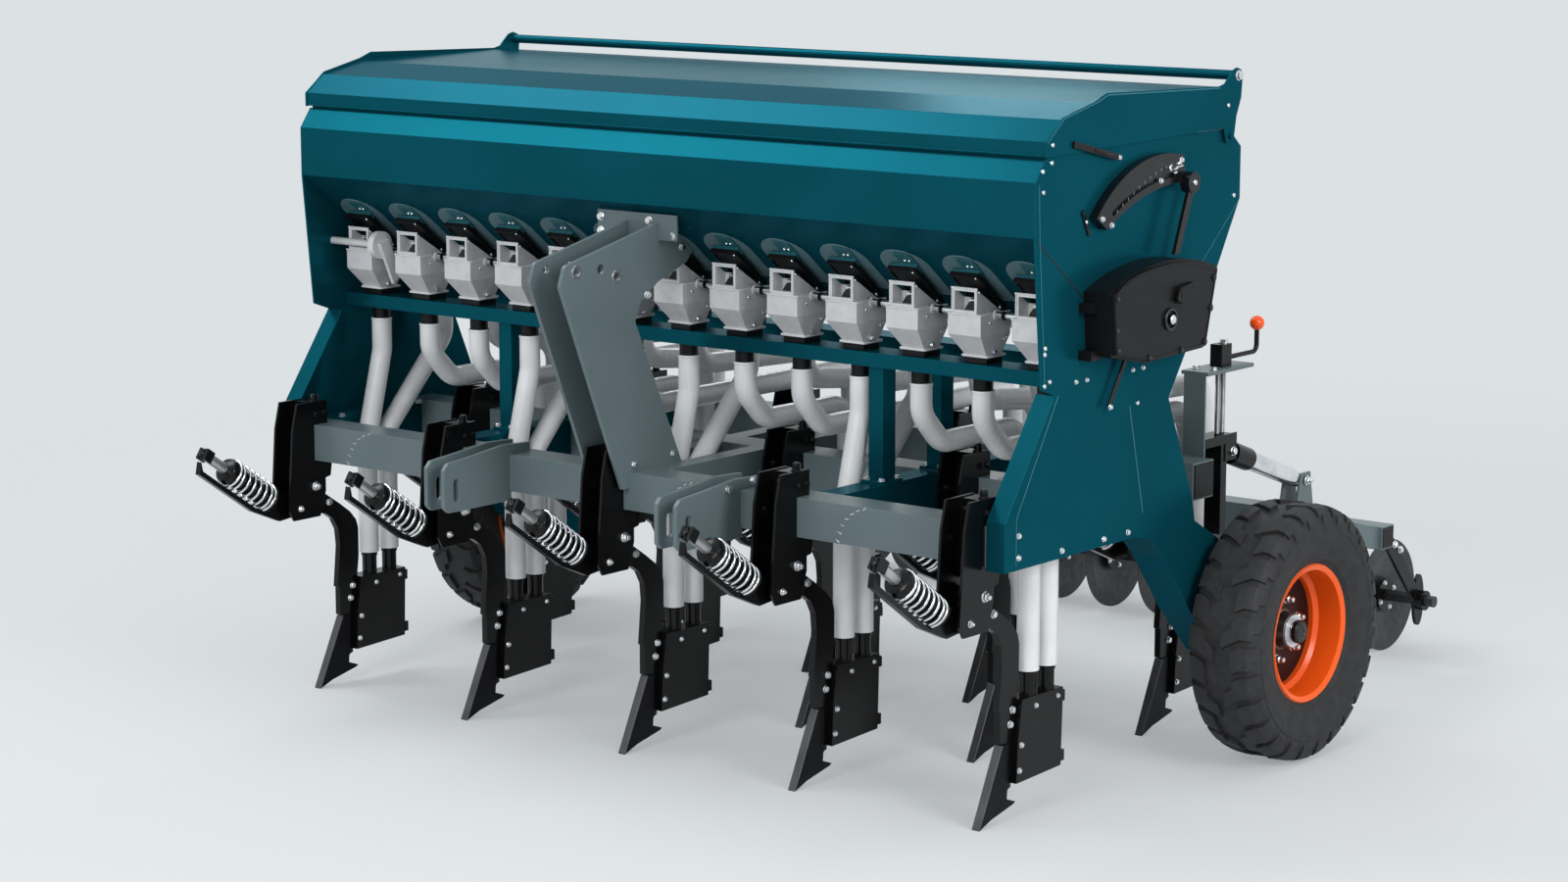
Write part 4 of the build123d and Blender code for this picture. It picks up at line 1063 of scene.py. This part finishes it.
def makeControlParts():
    coverX, quadX = control["coverX"], plateX + control["quadrantOut"]
    outward = (1, 0, 0)

    def standing(face, spot):
        return [put(face + spot[0], *spot[1:], outward)]

    corners = control["coverEdge"]
    bead = [(strip(start, end, *control["bead"]), [sideOn(coverX + control["beadOut"])])
            for start, end in zip(corners, corners[1:] + corners[:1])]
    addPairs("gearbox_bead", bead, blackMoulding)
    screws = [(coverX + control["screwOut"], *spot) for spot in control["coverScrews"]]
    addPairs("gearbox_screws", domesAt(screws, outward, control["screwSize"]), satinBlack)
    lever = slab(control["lever"], *control["leverSize"])
    addPairs("gearbox_lever", [(lever, [sideOn(coverX + control["leverOut"])])], blackMoulding)
    ring = lathe(control["bossRing"], 30)
    addPairs("gearbox_ring", [(ring, standing(coverX, control["bossRingAt"]))], satinBlack)
    footLever = strip(*control["footLever"])
    addPairs("gearbox_foot_lever", [(footLever, [sideOn(plateX + control["footOut"])])], blackPaint)
    addPairs("quadrant_strip", [(strip(*control["strip"]), [sideOn(plateX)])], blackPaint)
    turned = Matrix.Rotation(math.pi / 2, 4, "X") @ Matrix.Rotation(control["wingTurn"], 4, "Y")
    small = control["quadrantSize"]
    out, y, z = control["footBoltAt"]
    silver = [(lathe(control["bossEnd"], 24), standing(coverX, control["bossEndAt"])),
              (lathe(control["stem"], 14), standing(quadX, control["stemAt"])),
              (slab(control["wing"], *control["wingSize"]),
               [place @ turned for place in standing(quadX, control["wingAt"])])]
    silver += boltsAt([(plateX + out, y, z)], outward, small)
    silver += boltsAt([(quadX, *spot) for spot in control["quadrantBolts"]], outward, small)
    for out, y, z, size in control["domes"]:
        silver += domesAt([(plateX + out, y, z)], outward, size)
    addPairs("control_bolts", silver, zincPlate)
    marks = []
    for k in range(control["ticks"]):
        share = k / (control["ticks"] - 1)
        startY, startZ = control["scaleStart"]
        rise = control["scaleBow"] * math.sin(share * math.pi / 2) + control["scaleRise"] * share
        marks.append(put(quadX, startY + control["scaleLong"] * share, startZ + rise, outward))
    addPairs("quadrant_scale", [(brick(*control["tick"]), marks)], satinSteel)


makeControlParts()
print("gearbox and rate control finished")

jack = {
    "threads": (974.0, 1180.0),
    "threadPitch": 4.0,
    "threadTurns": 51,
    "threadRadii": (7.6, 9.6),
    "screwY": (1449, 1480),
    "crankBolt": (1480, 1265, 1.2),  # y, z and size
    "topBolts": (32, 1370, 0.9),  # from the middle of the tower, y and size
    "leftPin": (38.7, 1494, 915, 1.0),  # on the left tower only
    "pins": ((34, 1494, 915, 1.0), (50, 1790, 645, 1.1)),  # from the middle, y, z and size
    "armPin": (38, 1960, 752, 1.1),
    "hangerX": 1302,
    "hangers": [(boltsAt, 0.9, ((2600, 430), (2640, 405)))],
}
jackX = (cornersOf("strut_barrel_right")[0].x + cornersOf("strut_barrel_right")[1].x) / 2


def makeJackParts():
    low, high = jack["threads"]
    root, crest = jack["threadRadii"]
    line = [(0, low)]
    for k in range(jack["threadTurns"]):
        z = low + jack["threadPitch"] * k
        line += [(root, z), (crest, z + jack["threadPitch"] / 2)]
    thread = lathe(line + [(root, high), (0, high)], 14)
    screws = [put(side * jackX, y, 0) for side in (-1, 1) for y in jack["screwY"]]
    threads = addPairs("jack_threads", [(thread, screws)], satinSteel, sharp=80)
    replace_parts(threads, "jack_screws")
    y, z, size = jack["crankBolt"]
    zinc = boltsAt([(side * jackX, y, z) for side in (-1, 1)], (0, 0, 1), size)
    away, y, size = jack["topBolts"]
    topZ = cornersOf("jack_towers")[1].z
    spots = [(side * jackX + dx, y, topZ) for side in (-1, 1) for dx in (-away, away)]
    zinc += boltsAt(spots, (0, 0, 1), size)
    away, y, z, size = jack["leftPin"]
    zinc += boltsAt([(-jackX - wall * away, y, z) for wall in (-1, 1)], (-1, 0, 0), size)
    for side in (-1, 1):
        for wall in (-1, 1):
            for away, y, z, size in jack["pins"]:
                zinc += boltsAt([(side * jackX + wall * away, y, z)], (wall, 0, 0), size)
    addPairs("jack_bolts", zinc, zincPlate)
    nuts = fastened(jack["hangerX"], jack["hangers"])
    away, y, z, size = jack["armPin"]
    for side in (-1, 1):
        for wall in (-1, 1):
            nuts += boltsAt([(side * jackX + wall * away, y, z)], (wall, 0, 0), size, True)
    addPairs("packer_frame_bolts", nuts, zincPlate, "packer")


packer = {
    "discs": 11,
    "axle": (2790.0, 200.0),  # y and z
    "flange": [(23, 18), (62, 18), (62, 23), (23, 23), (23, 18)],
    "boltCircle": 50.0,
    "boltsPerDisc": 4,
    "firstTurn": 0.4,
    "boltAt": 23.0,
    "boltSize": 0.62,
    "end": [(0, 0), (16, 0), (16, 6), (11, 8), (11, 16), (0, 17)],
    "endX": 1346.0,
}


def makePackerParts():
    axleY, axleZ = packer["axle"]
    radius, count = packer["boltCircle"], packer["boltsPerDisc"]
    discX = [(k - packer["discs"] // 2) * layout["linePitch"] for k in range(packer["discs"])]
    turns = [2 * math.pi / count * k + packer["firstTurn"] for k in range(count)]
    spots = [(x + packer["boltAt"], axleY + radius * math.cos(turn), axleZ + radius * math.sin(turn))
             for x in discX for turn in turns]
    zinc = boltsAt(spots, (1, 0, 0), packer["boltSize"])
    ends = [put(side * packer["endX"], axleY, axleZ, (side, 0, 0)) for side in (-1, 1)]
    zinc.append((lathe(packer["end"], 18), ends))
    addPairs("packer_bolts", zinc, zincPlate, "roller")
    flanges = [put(x, axleY, axleZ, (1, 0, 0)) for x in discX]
    addPairs("packer_flanges", [(lathe(packer["flange"], 24), flanges)], blackPaint, "roller")


makeJackParts()
makePackerParts()
print("screws, struts and packer finished")


def stageFloor():
    # a wide floor that takes the shadow near the machine and turns into the backdrop far from it
    bm = bmesh.new()
    bmesh.ops.create_grid(bm, x_segments=1, y_segments=1, size=studio["floorSize"] / 2)
    mesh = bpy.data.meshes.new("floor")
    bm.to_mesh(mesh)
    bm.free()
    floor = bpy.data.objects.new("floor", mesh)
    scene.collection.objects.link(floor)
    material = bpy.data.materials.new("floorSheet")
    material.use_nodes = True
    tree = material.node_tree
    s = Shade(tree)
    shader = tree.nodes["Principled BSDF"]
    shader.inputs["Base Color"].default_value = studio["floorColour"]
    shader.inputs["Roughness"].default_value = studio["floorRoughness"]
    shader.inputs["Specular IOR Level"].default_value = studio["floorGloss"]
    far = s.vectors("LENGTH", s.place(), out=1).steps(studio["fadeStart"], studio["fadeEnd"])
    lift = far * (1.0 - studio["softShadow"]) + studio["softShadow"]
    backdrop = s.node("ShaderNodeEmission", {}, {"Color": studio["backColour"], "Strength": 1.0})
    sheet = Shade(tree, shader.outputs[0])
    both = s.node("ShaderNodeMixShader", {}, {0: lift * s.seen(), 1: sheet, 2: backdrop})
    tree.links.new(both.socket, tree.nodes["Material Output"].inputs["Surface"])
    mesh.materials.append(material)


def stageWorld():
    world = bpy.data.worlds.new("studioWorld")
    scene.world = world
    world.use_nodes = True
    tree = world.node_tree
    s = Shade(tree)
    room, back = [s.node("ShaderNodeBackground", {}, {"Color": studio[colour], "Strength": strength})
                  for colour, strength in (("roomColour", studio["roomLight"]), ("backColour", 1.0))]
    both = s.node("ShaderNodeMixShader", {}, {0: s.seen(), 1: room, 2: back})
    tree.links.new(both.socket, tree.nodes["World Output"].inputs["Surface"])


stageFloor()
stageWorld()
print("studio ready")
